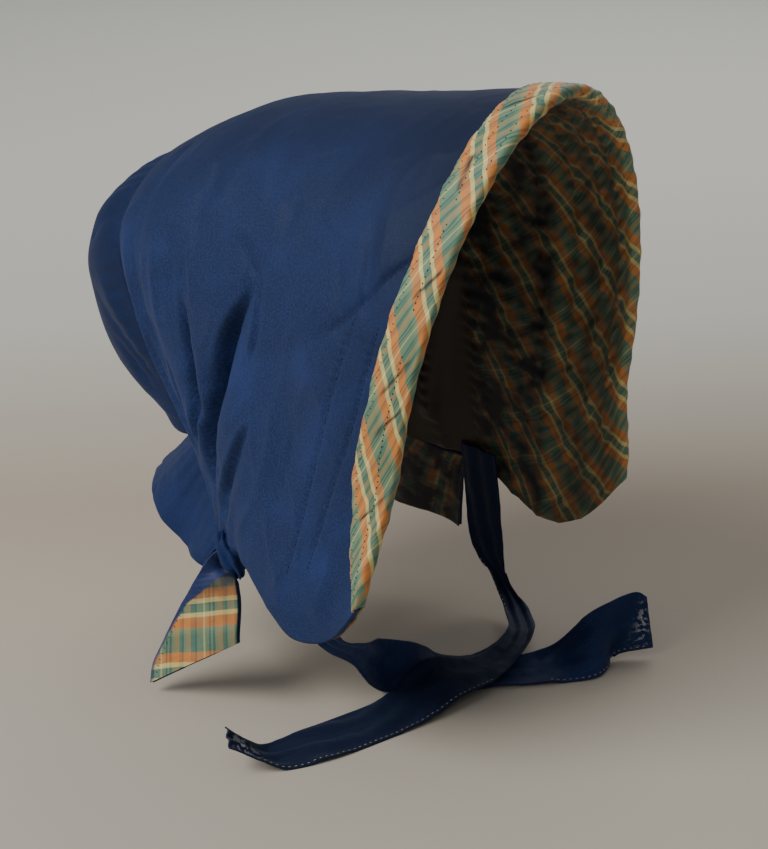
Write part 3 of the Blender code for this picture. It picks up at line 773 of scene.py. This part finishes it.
def plaid_finish(name, turn, repeat, plain):
    """Plaid silk: warp and weft stripes, a repeat in metres, turned by an angle, beside plain cloth."""
    plaid = Finish(name, {"Sheen Weight": 0.2, "Sheen Roughness": 0.4, "Specular IOR Level": 0.4})
    threads = plaid.add("ShaderNodeUVMap", {"uv_map": "threads"}, {})
    wobble = plaid.noise(threads, 30.0)
    turned = plaid.add("ShaderNodeMapping", {}, {"Vector": threads, "Rotation": (0.0, 0.0, turn)})
    across = plaid.add("ShaderNodeSeparateXYZ", {}, {"Vector": turned}, 0)
    along = plaid.add("ShaderNodeSeparateXYZ", {}, {"Vector": turned}, 1)
    warp_place = across / repeat + wobble * 0.05
    weft_place = along / repeat + wobble * 0.05
    warp_share = plaid.add("ShaderNodeMath", {"operation": "FRACT"}, {0: warp_place})
    weft_share = plaid.add("ShaderNodeMath", {"operation": "FRACT"}, {0: weft_place})
    warp = plaid.add("ShaderNodeValToRGB", {"stops": WARP_STRIPES}, {0: warp_share})
    weft = plaid.add("ShaderNodeValToRGB", {"stops": WEFT_STRIPES}, {0: weft_share})
    drawn_along = plaid.add("ShaderNodeMapping", {}, {"Vector": turned, "Scale": (2400.0, 150.0, 1.0)})
    drawn_across = plaid.add("ShaderNodeMapping", {}, {"Vector": turned, "Scale": (150.0, 2400.0, 1.0)})
    fine_warp = plaid.noise(drawn_along, 1.0)
    fine_weft = plaid.noise(drawn_across, 1.0)
    cloth = plaid.mix(0.34 + fine_weft * 0.16, warp, weft)
    grain = fine_warp * 0.5 + fine_weft * 0.5
    soil = plaid.noise(threads, 11.0, 4.0)
    cloth = plaid.mix(plaid.between(soil, 0.45, 0.8) * 0.3, cloth, SOILED)
    cloth = plaid.mix(plaid.between(grain, 0.45, 0.75) * 0.16, cloth, THREAD_SHADOW)
    blotch = plaid.between(plaid.noise(threads, 55.0, 3.0), 0.30, 0.70)
    # Painted shade: the shade attribute darkens the plaid towards a dark blue-black, unevenly in blotches.
    cloth = plaid.mix(plaid.attribute("shade") * (0.74 + blotch * 0.55), cloth, SHADE_TONE)
    cloth = plaid.mix(plaid.attribute("plain"), cloth, (*plain, 1.0))
    return plaid.surface(cloth, 0.5 + grain * 0.15, grain, relief=SOFT_WEAVE)


BIAS_TURN = -0.951
BIAS_REPEAT = 0.0275
BROWN_COTTON = (0.040, 0.030, 0.023)
lining.data.materials.append(plaid_finish("plaid_silk_look", BIAS_TURN, BIAS_REPEAT, BROWN_COTTON))
# The plaid reaches a little less than half way in, and plain brown cotton lines the rest.
PLAID_REACH = 0.46
plain_back = np.zeros((lining_rows + 1, LINING_STEPS_ROUND + 1))
plain_back[: LINING_STEPS_INSIDE + 1] = np.clip((lining_back - PLAID_REACH) / 0.02, 0.0, 1.0)
paint(lining, "plain", plain_back)
# How much painted shade darkens the lining, from the brim's edge to its back, standing in for the shade
# inside the hood.
INSIDE_SHADE = (
    (0.00, 0.00), (0.05, 0.52), (0.14, 0.56), (0.17, 0.70), (0.19, 0.56), (0.25, 0.42), (0.28, 0.88),
    (0.33, 0.86), (0.36, 0.74), (0.39, 0.76), (0.42, 0.92), (1.00, 0.94),
)
lining_painted_shade = np.zeros_like(plain_back)
inside_shade = np.interp(lining_back, *np.array(INSIDE_SHADE).T)
crest_shade = 0.86 * np.exp(-((lining_round / 0.36) ** 2)) * np.clip(lining_back / 0.08, 0.0, 1.0)
lining_painted_shade[: LINING_STEPS_INSIDE + 1] = np.maximum(inside_shade, crest_shade)
# Short creases across the band, drawn as lines of painted shade, each between two places given as (round,
# share of the band's width).
BAND_CREASES = (
    ((-0.305, 0.60), (-0.235, 0.72)),
    ((-0.468, 0.60), (-0.448, 0.05)),
    ((-0.596, 0.70), (-0.574, 0.20)),
    ((-0.655, 0.62), (-0.648, 0.04)),
    ((-0.120, 0.80), (-0.080, 0.30)),
    ((-0.800, 0.75), (-0.795, 0.15)),
)
band_rows = slice(lining_rows - LINING_STEPS_BAND, lining_rows + 1)
band_share = np.linspace(0.0, 1.0, LINING_STEPS_BAND + 1)[:, None]
for (first_round, first_share), (last_round, last_share) in BAND_CREASES:
    run = np.array((BAND_GIRTH * (last_round - first_round), BAND_WIDTH * (last_share - first_share)))
    reach = np.linalg.norm(run)
    offset_round = BAND_GIRTH * (-edge_round - first_round)
    offset_across = BAND_WIDTH * (band_share - first_share)
    offset = np.stack(np.broadcast_arrays(offset_round, offset_across), axis=-1)
    along_crease = offset @ run / reach
    away_crease = offset @ np.array((-run[1], run[0])) / reach
    inside_crease = smooth_step(along_crease / 2.0 + 0.5) * smooth_step((reach - along_crease) / 2.0 + 0.5)
    crease_shade = 0.9 * inside_crease * np.exp(-((away_crease / 1.5) ** 2))
    lining_painted_shade[band_rows] = np.maximum(lining_painted_shade[band_rows], crease_shade)
paint(lining, "shade", lining_painted_shade)
thicken(lining, LINING_THICKNESS)
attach(lining, "root")
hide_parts("hood_lining")


# Band stitches: a row of whipping over the band's hemmed edge, and rows of small running stitches along the
# band that show as dots, all of navy thread. Each row gives its line of the lining, its two ends round the
# hood and its step in millimetres.
def lining_steps(row, low, high, step):
    """Stitch places along one row of the lining, between two places round the hood."""
    columns = (lining_round[0] >= low) & (lining_round[0] <= high)
    line = lining_points[row, columns]
    around = lining_round[0][columns]
    toward = np.clip(row - LINING_STEPS_INSIDE, 0, LINING_STEPS_ROLL) / LINING_STEPS_ROLL * np.pi
    normal = arch_normal(np.zeros_like(around), around)
    outwards = np.sin(toward) * brim_forward(around) - np.cos(toward) * normal
    return thread_steps(line + outwards * (LINING_THICKNESS / 2.0), outwards, step)


BAND_START = LINING_STEPS_INSIDE + LINING_STEPS_ROLL
WHIP_ROW = (BAND_START + LINING_STEPS_BAND - 1, -0.99, 0.99, 4.6)
DOT_ROWS = (
    (BAND_START + 8, -0.98, -0.55, 3.6),
    (BAND_START + 9, -0.50, -0.36, 3.8),
    (BAND_START + 10, -0.33, -0.04, 4.2),
    (BAND_START + 3, -0.30, 0.10, 5.0),
    (BAND_START + 8, 0.30, 0.98, 3.8),
    (BAND_START - 5, 0.05, 0.96, 4.4),
)
WHIP_STITCH = (1.7, 0.5, 0.5)
DOT_STITCH = (1.3, 0.9, 0.4)
thread_stitches("band_whip_stitches", [lining_steps(*WHIP_ROW)], WHIP_STITCH, dark_thread, across=True)
thread_stitches("band_dot_stitches", [lining_steps(*dots) for dots in DOT_ROWS], DOT_STITCH, dark_thread)


# Back panel: a horseshoe of the same navy silk over wadding, gathered along the back seam and full over the
# back of the head, with its own lining of plain brown cotton inside.
PANEL_BULGE = 70.0
PANEL_FULLNESS = 2.6
PANEL_MIDDLE = np.array((0.0, 101.0, -115.0)) - SEAT
PANEL_OUTWARD = unit(np.array((0.0, 0.95, -0.31)))
PANEL_SEAM_GAP = 0.2
NAPE_SAG = 26.0
PANEL_GATHER = 11.0
PANEL_LINING_DEPTH = 4.4
PANEL_LINING_GATHERS = 0.35
PANEL_STEPS_ROUND = 300
PANEL_STEPS_NAPE = 120
PANEL_RINGS = 70
# Folds of the back panel: from one place to another in millimetres, the width and the rise or drop.
PANEL_FOLDS = (
    ((-65.0, 150.0, -99.0), (-62.0, 112.0, -68.0), 4.0, -3.6),
    ((-55.0, 150.0, -90.0), (-54.0, 120.0, -64.0), 6.0, 2.2),
    ((-66.0, 142.0, -128.0), (-70.0, 88.0, -178.0), 4.0, -3.2),
    ((-75.0, 132.0, -118.0), (-74.0, 94.0, -166.0), 5.0, 2.2),
    ((-66.0, 128.0, -154.0), (-70.0, 92.0, -184.0), 3.5, -2.6),
    ((-45.0, 146.0, -150.0), (-62.0, 100.0, -190.0), 6.0, 2.0),
    ((-20.0, 160.0, -100.0), (-30.0, 146.0, -165.0), 10.0, 1.8),
    ((8.0, 160.0, -80.0), (4.0, 150.0, -170.0), 10.0, -1.8),
    ((36.0, 150.0, -80.0), (46.0, 134.0, -165.0), 8.0, 1.8),
    ((65.0, 150.0, -99.0), (62.0, 112.0, -68.0), 4.0, -3.0),
    ((66.0, 142.0, -128.0), (70.0, 88.0, -178.0), 4.0, -3.0),
    ((66.0, 128.0, -154.0), (70.0, 92.0, -184.0), 3.5, -2.4),
)


def panel_folds(points):
    """Height of the panel's folds, in millimetres."""
    height = np.zeros(points.shape[:-1])
    share = np.linspace(0.0, 1.0, 40)[:, None]
    for start, end, width, rise in PANEL_FOLDS:
        start = np.array(start)
        away, place, length = line_distance(points, start + (np.array(end) - start) * share)
        fade = np.sin(np.pi * np.clip(place, 0.02, 0.98)) ** 0.6
        height = height + rise * fade * np.exp(-np.abs(away / width) ** 1.4)
    return height


def panel_points(inwards, gathers):
    """Rings of the panel from its sewn outline to its middle, with gathers that fade from the seam."""
    around = np.linspace(-1.0, 1.0, PANEL_STEPS_ROUND + 1)
    seam = hood_surface(np.ones_like(around), around, COVER_THICKNESS / 2.0)
    share = np.linspace(0.0, 1.0, PANEL_STEPS_NAPE + 1)[1:-1, None]
    nape = seam[-1] + (seam[0] - seam[-1]) * share
    nape[:, 1] += NAPE_SAG * np.sin(np.pi * share[:, 0])
    outline = np.concatenate([seam, nape, seam[:1]]) + PANEL_OUTWARD * PANEL_SEAM_GAP
    angle = np.linspace(0.0, np.pi / 2.0, PANEL_RINGS + 1)[:, None, None]
    reach = np.maximum(np.cos(angle), 0.0) ** (2.0 / PANEL_FULLNESS)
    stand = np.sin(angle) ** (2.0 / PANEL_FULLNESS)
    rings = PANEL_MIDDLE + (outline - PANEL_MIDDLE) * reach + PANEL_OUTWARD * PANEL_BULGE * stand
    height = rings[..., 2:3]
    drawn_in = 26.0 * smooth_step((-174.0 - height) / 34.0)
    drawn_in = drawn_in - 3.5 * np.exp(-(((height + 163.0) / 22.0) ** 2))
    rings = rings - PANEL_OUTWARD * drawn_in * stand
    slope = np.gradient(rings, axis=0)
    turn = np.roll(rings[:, :-1], -1, axis=1) - np.roll(rings[:, :-1], 1, axis=1)
    turn = np.concatenate([turn, turn[:, :1]], axis=1)
    normals = unit(np.cross(turn, slope))
    normals[-1] = PANEL_OUTWARD
    length = np.concatenate([[0.0], np.cumsum(np.linalg.norm(np.diff(outline, axis=0), axis=-1))])
    fade = np.sin(angle[..., 0]) ** 0.6 * np.cos(angle[..., 0]) ** 1.3
    whole = np.round(length[-1] / PANEL_GATHER)
    turns = 2.0 * np.pi * whole * length / length[-1]
    waves = np.sin(turns + 1.2 * np.sin(6.0 * np.pi * length / length[-1]))
    wander = cloud(rings, 24.0, 9.0)
    near_seam = np.exp(-((angle[..., 0] / 0.35) ** 2)) * np.clip(angle[..., 0] / 0.08, 0.0, 1.0)
    lift = gathers * (near_seam * 0.45 * waves[None, :] + fade * 1.6 * wander + panel_folds(rings)) - inwards
    return rings + normals * lift[..., None]


def panel_sheet(name, inwards, gathers):
    """A sheet of the panel, with its first and last columns and its pole merged."""
    columns = PANEL_STEPS_ROUND + PANEL_STEPS_NAPE
    points = panel_points(inwards, gathers)
    sheet = cloth_grid(name, PANEL_RINGS, columns, points, thread_lengths(points))
    select_only(sheet)
    bpy.ops.object.mode_set(mode="EDIT")
    bpy.ops.mesh.select_all(action="SELECT")
    bpy.ops.mesh.remove_doubles(threshold=0.00005)
    bpy.ops.object.mode_set(mode="OBJECT")
    return sheet


panel = panel_sheet("crown_back_silk", 0.0, 1.0)
# The panel's silk is given a darker navy than the cover's, as painted shade.
PANEL_SHADED_NAVY = (0.0065, 0.0150, 0.060)
PANEL_SHADED_DARK = (0.0055, 0.0115, 0.038)
panel.data.materials.append(silk_finish("panel_silk_look", PANEL_SHADED_NAVY, PANEL_SHADED_DARK, FINE_WEAVE))
thicken(panel, COVER_THICKNESS)
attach(panel, "root")
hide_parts("crown_back")

panel_lining = panel_sheet("crown_back_lining_cotton", PANEL_LINING_DEPTH, PANEL_LINING_GATHERS)
cotton = Finish("brown_cotton_look", {"Roughness": 0.85})
cotton_threads = cotton.add("ShaderNodeUVMap", {"uv_map": "threads"}, {})
cotton_weave = cotton.noise(cotton_threads, 1400.0)
COTTON_DARK = (0.045, 0.035, 0.028, 1.0)
COTTON_PALE = (0.075, 0.058, 0.045, 1.0)
cotton_tone = cotton.mix(cotton.noise(cotton_threads, 20.0, 4.0), COTTON_DARK, COTTON_PALE)
panel_lining.data.materials.append(cotton.surface(cotton_tone, None, cotton_weave, relief=SOFT_WEAVE))
thicken(panel_lining, LINING_THICKNESS)
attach(panel_lining, "root")
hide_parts("crown_back_lining")


# Neck curtain: a strip of navy silk gathered to the hood along the nape, lined with the same plaid on the
# straight grain. Its near end hangs free and is turned over, so that it shows the plaid. A row of the table
# gives a point of the sewn edge and one of the free edge.
CURTAIN = {
    "far_end":    (105.0, -11.0, -242.0, 111.0,  -4.0, -292.0),
    "far_side":    (92.0,  13.0, -234.2, 104.0,  44.0, -282.0),
    "far_nape":    (78.0,  40.0, -216.6,  90.0,  82.0, -262.0),
    "far_back":    (69.0,  60.5, -195.8,  66.0, 112.0, -236.0),
    "middle":       (0.0,  88.0, -194.6,   0.0, 140.0, -238.0),
    "near_back":  (-69.0,  60.5, -195.8, -66.0, 104.0, -234.0),
    "near_nape":  (-78.0,  40.0, -216.6, -82.0,  62.0, -254.0),
    "near_side":  (-93.0,  12.0, -234.6, -95.0,  29.0, -259.0),
    "edge_on":   (-101.0,  17.0, -250.0, -90.0,  10.0, -264.0),
    "turn":      (-104.0,  24.0, -267.0, -97.0,  -5.0, -259.0),
    "tail_upper": (-107.0, 32.0, -284.0, -101.0, -11.0, -272.0),
    "tail_lower": (-118.0, 44.0, -319.0, -105.0, -14.0, -287.0),
    "tail_end":   (-124.0, 43.0, -334.0, -106.0, -15.0, -294.0),
}
CURTAIN_THICKNESS = 1.5
CURTAIN_LINING_DEPTH = 2.55
TUCK_UNDER = np.array((0.0, -4.0, 5.0))
FLAP_POINT = np.array((-1.0, -6.0, -4.0))
FLAP_SAG = np.array((0.0, -4.0, -5.0))
CURTAIN_STEPS_ALONG = 420
CURTAIN_STEPS_ACROSS = 40


def curtain_surface(along, across):
    """Smooth middle of the curtain: far end (0) to near end (1), sewn edge (0) to free edge (1)."""
    along, across = np.broadcast_arrays(np.asarray(along, float), np.asarray(across, float))
    seam, hem = np.split(along_rows(CURTAIN.values(), along), 2, axis=-1)
    return seam + (hem - seam) * across[..., None] - SEAT


curtain_across, curtain_along = np.meshgrid(
    np.linspace(0.0, 1.0, CURTAIN_STEPS_ACROSS + 1),
    np.linspace(0.0, 1.0, CURTAIN_STEPS_ALONG + 1),
    indexing="ij",
)


def curtain_points(outwards):
    """The curtain with its waves, gathers and crumples, tucked under at the seam and pulled to a corner."""
    across = curtain_across
    along = curtain_along
    fade = np.clip((0.6 - along) / 0.1, 0.0, 1.0)
    wave = 3.0 * fade * across * np.sin(2.0 * np.pi * 9.0 * along)
    surface = curtain_surface(along, across)
    pleat = 0.9 * np.sin(2.0 * np.pi * 47.0 * along + np.sin(along * 31.0))
    pleat = pleat * np.exp(-across / 0.35) * across ** 0.3
    crumple = 0.7 * cloud(surface, 16.0, 6.0) + 0.4 * cloud(surface, 7.0, 1.0)
    move = wave + pleat * np.clip((0.66 - along) / 0.06, 0.2, 1.0) + crumple + outwards
    normal = surface_normal(curtain_surface, np.maximum(along, 0.002), np.maximum(across, 0.002))
    tuck = np.clip(1.0 - across / 0.12, 0.0, 1.0) * np.clip((0.60 - along) / 0.05, 0.0, 1.0)
    point = across * np.exp(-np.abs(along - 0.375) / 0.03)
    sag = across * np.exp(-(((along - 0.335) / 0.03) ** 2))
    moved = TUCK_UNDER * tuck[..., None] + FLAP_POINT * point[..., None] + FLAP_SAG * sag[..., None]
    return surface + normal * move[..., None] + moved


# The stripes of the turned-over end run level across it, so its threads are counted across and down that end.
TAIL_ACROSS = np.array((0.836, -0.929, 0.0))
TAIL_DOWN = np.array((-0.167, -0.324, -0.845))
TAIL_PHASE = -4.5
TAIL_START = 0.70


def curtain_lengths(points):
    lengths = thread_lengths(points)
    middle = curtain_surface(curtain_along, np.full_like(curtain_along, 0.5))
    run = np.concatenate([[0.0], np.cumsum(np.linalg.norm(np.diff(middle[0], axis=0), axis=-1))])
    lengths[..., 0] = run[None, :]
    end = curtain_along > TAIL_START
    lengths[end] = np.stack([points[end] @ TAIL_DOWN + TAIL_PHASE, points[end] @ TAIL_ACROSS], axis=-1)
    return lengths


def curtain_sheet(name, points):
    return cloth_grid(name, CURTAIN_STEPS_ACROSS, CURTAIN_STEPS_ALONG, points, curtain_lengths(points))


curtain = curtain_sheet("neck_curtain_silk", curtain_points(0.0))
CURTAIN_NAVY = (0.0092, 0.0220, 0.090)
CURTAIN_DARK = (0.0082, 0.0170, 0.058)
curtain.data.materials.append(silk_finish("curtain_silk_look", CURTAIN_NAVY, CURTAIN_DARK, SOFT_WEAVE))
thicken(curtain, CURTAIN_THICKNESS)
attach(curtain, "root")
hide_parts("neck_curtain")

curtain_inside = curtain_points(-CURTAIN_LINING_DEPTH)
curtain_lining = curtain_sheet("curtain_lining_plaid", curtain_inside)
# The navy silk is turned over the end's outer edge and hemmed down there as a strip that narrows to nothing.
TURNED_STRIP = (
    (0.0, 0.0), (0.62, 0.0), (0.65, 1.0), (0.71, 1.0), (0.76, 0.42), (0.83, 0.10), (0.88, 0.03), (1.0, 0.02),
)
strip_width = np.interp(curtain_along, *np.array(TURNED_STRIP).T)
paint(curtain_lining, "plain", np.clip((strip_width - curtain_across) / 0.03 + 0.5, 0.0, 1.0))
# Painted shade: the curtain's lining is painted dark all along, and on the turned-over end a painted shadow
# fades from its top to a light shade at its foot.
paint(curtain_lining, "shade", 0.22 + 0.70 * smooth_step((0.85 - curtain_along) / 0.12))
STRAIGHT_REPEAT = 0.0345
TURNED_NAVY = (0.0085, 0.0225, 0.108)
curtain_lining.data.materials.append(plaid_finish("plaid_curtain_look", 0.0, STRAIGHT_REPEAT, TURNED_NAVY))
thicken(curtain_lining, LINING_THICKNESS)
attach(curtain_lining, "root")
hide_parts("curtain_lining")


# Hem stitches of the curtain: two rows of short navy stitches on the plaid side of its turned-over end. Each
# row gives its line of the strip, and the first and the last place along it.
SEEN_FROM = unit(np.array((-1.0, -1.0, 1.0)))
CURTAIN_HEMS = ((3, 340, 414), (9, 318, 332))
CURTAIN_STITCH = (1.9, 0.6, 0.4)
HEM_STEP = 4.0


def facing_normals(points):
    """Normals of a sheet's points, turned to the side that the camera sees."""
    normals = unit(np.cross(np.gradient(points, axis=1), np.gradient(points, axis=0)))
    return normals * np.where(np.sum(normals * SEEN_FROM, axis=-1, keepdims=True) < 0.0, -1.0, 1.0)


tail_normals = facing_normals(curtain_inside)
tail_steps = []
for row, low, high in CURTAIN_HEMS:
    tail_line = curtain_inside[row, low:high] + tail_normals[row, low:high] * (LINING_THICKNESS / 2.0)
    tail_steps.append(thread_steps(tail_line, tail_normals[row, low:high], HEM_STEP))
thread_stitches("curtain_hem_stitches", tail_steps, CURTAIN_STITCH, dark_thread, across=True)


# Gathers of the curtain: where its end turns over, its silk is bunched into a small knot behind the lappet's
# rear corner. It is a padded ball of the curtain's own silk, folded all round, its top leaning to the rear.
BUNCH_RADII = np.array((7.5, 7.5, 14.0))
BUNCH_LEAN = np.array(Matrix.Rotation(-0.35, 3, "X"))
BUNCH_PLACE = np.array((-96.0, 0.5, -256.0))
bpy.ops.object.select_all(action="DESELECT")
bpy.ops.mesh.primitive_uv_sphere_add(segments=72, ring_count=48, radius=1.0)
bunch = bpy.context.object
bunch.name = "neck_curtain_gathers"
bunch_ball = np.array([corner.co[:] for corner in bunch.data.vertices])
bunch_turn = np.arctan2(bunch_ball[:, 1], bunch_ball[:, 0])
bunch_folds = 0.16 * np.sin(7.0 * bunch_turn + 4.0 * bunch_ball[:, 2])
bunch_lift = 1.0 + bunch_folds + 0.22 * cloud(bunch_ball * 10.0, 7.0, 2.0)
bunch_points = bunch_ball * BUNCH_RADII * bunch_lift[:, None]
bunch_points = bunch_points @ BUNCH_LEAN.T + BUNCH_PLACE
bunch.data.vertices.foreach_set("co", (bunch_points * MM).ravel())
map_threads(bunch, bunch_points[:, 1:])
bunch.data.materials.append(curtain.data.materials[0])
bpy.ops.object.shade_smooth()
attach(bunch, "root")


# Ties: two flat bands of soft navy silk, sewn inside the lappets. They lie crossed on the floor, the left one
# over the right, with their edges hemmed by a running stitch in cream thread. A row of a table gives a point
# of one edge and a point of the other.
TIE_RIGHT = {
    "sewn":         (-110.0, -62.0, -246.0, -110.0,  -88.0, -236.0),
    "under_lappet": (-110.0, -84.0, -269.0, -110.5, -102.0, -259.0),
    "falling":      (-86.0,  -89.0, -291.0,  -82.0,  -97.0, -276.0),
    "on_edge":      (-32.0,  -63.0, -339.0,  -33.0,  -64.0, -302.0),
    "leaning":      (-13.0,  -94.0, -339.2,    8.0,  -60.0, -323.0),
    "under_left":    (10.0, -104.0, -339.2,   28.0,  -66.0, -337.0),
    "past_left":     (40.0, -128.0, -339.0,   52.0,  -94.0, -337.5),
    "rising":        (57.0, -141.0, -339.0,   74.0, -112.0, -330.0),
    "standing":      (73.0, -150.0, -339.0,   88.0, -131.0, -306.0),
    "corner":       (100.0, -142.0, -337.0,  116.0, -142.0, -299.0),
    "end":          (118.0, -158.0, -333.0,  120.0, -150.0, -301.0),
}
TIE_LEFT = {
    "sewn":          (98.8,  -14.0, -226.0,  101.8,  -40.0, -230.0),
    "hanging":      (101.8,  -20.0, -290.0,  103.8,  -46.0, -293.0),
    "twisted":      (104.0,  -37.0, -316.0,  105.0,  -50.0, -316.0),
    "landing":       (88.0,  -62.0, -329.0,   97.0,  -75.0, -328.0),
    "turned":        (62.0,  -84.0, -326.0,   69.0, -100.0, -326.0),
    "over_right":    (30.0,  -84.0, -329.0,   22.0, -113.0, -331.0),
    "crossing":      (-8.0,  -78.0, -321.0,  -16.0, -112.0, -333.0),
    "stepping_down": (-34.0, -73.0, -335.0,  -42.0, -110.0, -338.0),
    "flat":         (-62.0,  -67.0, -339.0,  -74.0, -105.0, -339.0),
    "long_run":     (-99.0,  -61.0, -339.0, -112.0,  -98.0, -339.0),
    "lifted":      (-132.0,  -57.0, -338.0, -141.0,  -86.0, -339.0),
    "end":         (-157.0,  -54.0, -316.0, -166.0,  -66.0, -322.0),
}
TIE_LOWEST = -339.5
TIE_THICKNESS = 1.0
TIE_STITCH = (2.0, 0.65, 0.5)
CREAM_THREAD = (0.42, 0.30, 0.20, 1.0)
FRAYED_PLACE = 0.965
FRAYED_REACH = 0.022
TIE_STEPS_ALONG = 460
TIE_STEPS_ACROSS = 36


def tie_points(rows, seed):
    """A tie with its pleats and crumples, nowhere below the floor."""
    across, along = np.meshgrid(
        np.linspace(0.0, 1.0, TIE_STEPS_ACROSS + 1),
        np.linspace(0.0, 1.0, TIE_STEPS_ALONG + 1),
        indexing="ij",
    )
    front, rear = np.split(along_rows(rows.values(), along), 2, axis=-1)
    flat = front + (rear - front) * across[..., None]
    normal = unit(np.cross(np.gradient(flat, axis=1), np.gradient(flat, axis=0)))
    normal = normal * np.where(normal[..., 2:3] < 0.0, -1.0, 1.0)
    pleat = 0.8 * np.sin(2.0 * np.pi * (2.2 * across + 0.3 * np.sin(along * 21.0 + seed)))
    crumple = 0.8 * cloud(flat, 15.0, seed) + 0.4 * cloud(flat, 6.0, seed + 3.0)
    points = flat + normal * (pleat + crumple)[..., None]
    points[..., 2] = np.maximum(points[..., 2], TIE_LOWEST)
    return points - SEAT


pale_thread = Finish("pale_thread_look", {"Base Color": CREAM_THREAD, "Roughness": 0.8}).material
TIES = {
    "tie_right": {
        "rows": TIE_RIGHT, "seed": 2.0, "navy": (0.0130, 0.0270, 0.092), "dark": (0.0100, 0.0200, 0.060),
        "slot": "right_tie_silk", "flat": (0.038, 0.29), "rests_on": ["hood_lining_plaid"],
        "hems": ((2, 290, 450),),
    },
    "tie_left": {
        "rows": TIE_LEFT, "seed": 8.0, "navy": (0.0090, 0.0150, 0.042), "dark": (0.0065, 0.0105, 0.028),
        "slot": "left_tie_silk", "flat": (0.038, 0.34), "rests_on": ["tie_right_silk"],
        "hems": ((TIE_STEPS_ACROSS - 2, 215, 440), (2, 60, 130)),
    },
}
for node, own in TIES.items():
    tie_cloth = tie_points(own["rows"], own["seed"])
    tie = cloth_grid(node + "_silk", TIE_STEPS_ACROSS, TIE_STEPS_ALONG, tie_cloth, thread_lengths(tie_cloth))
    tie_share = np.linspace(0.0, 1.0, TIE_STEPS_ALONG + 1)
    worn_end = np.exp(-(((tie_share - FRAYED_PLACE) / FRAYED_REACH) ** 2))
    paint(tie, "worn", np.outer(np.sin(np.linspace(0.0, np.pi, TIE_STEPS_ACROSS + 1)), worn_end))
    tie_silk = silk_finish(own["slot"] + "_look", own["navy"], own["dark"], SOFT_WEAVE, worn=True)
    tie.data.materials.append(tie_silk)
    thicken(tie, TIE_THICKNESS)
    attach(tie, "root")
    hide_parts(node)
    upwards = facing_normals(tie_cloth)
    hem_steps = []
    for row, low, high in own["hems"]:
        line = tie_cloth[row, low:high] + upwards[row, low:high] * (TIE_THICKNESS / 2.0)
        hem_steps.append(thread_steps(line, upwards[row, low:high], HEM_STEP))
    thread_stitches(node + "_hem_stitches", hem_steps, TIE_STITCH, pale_thread)
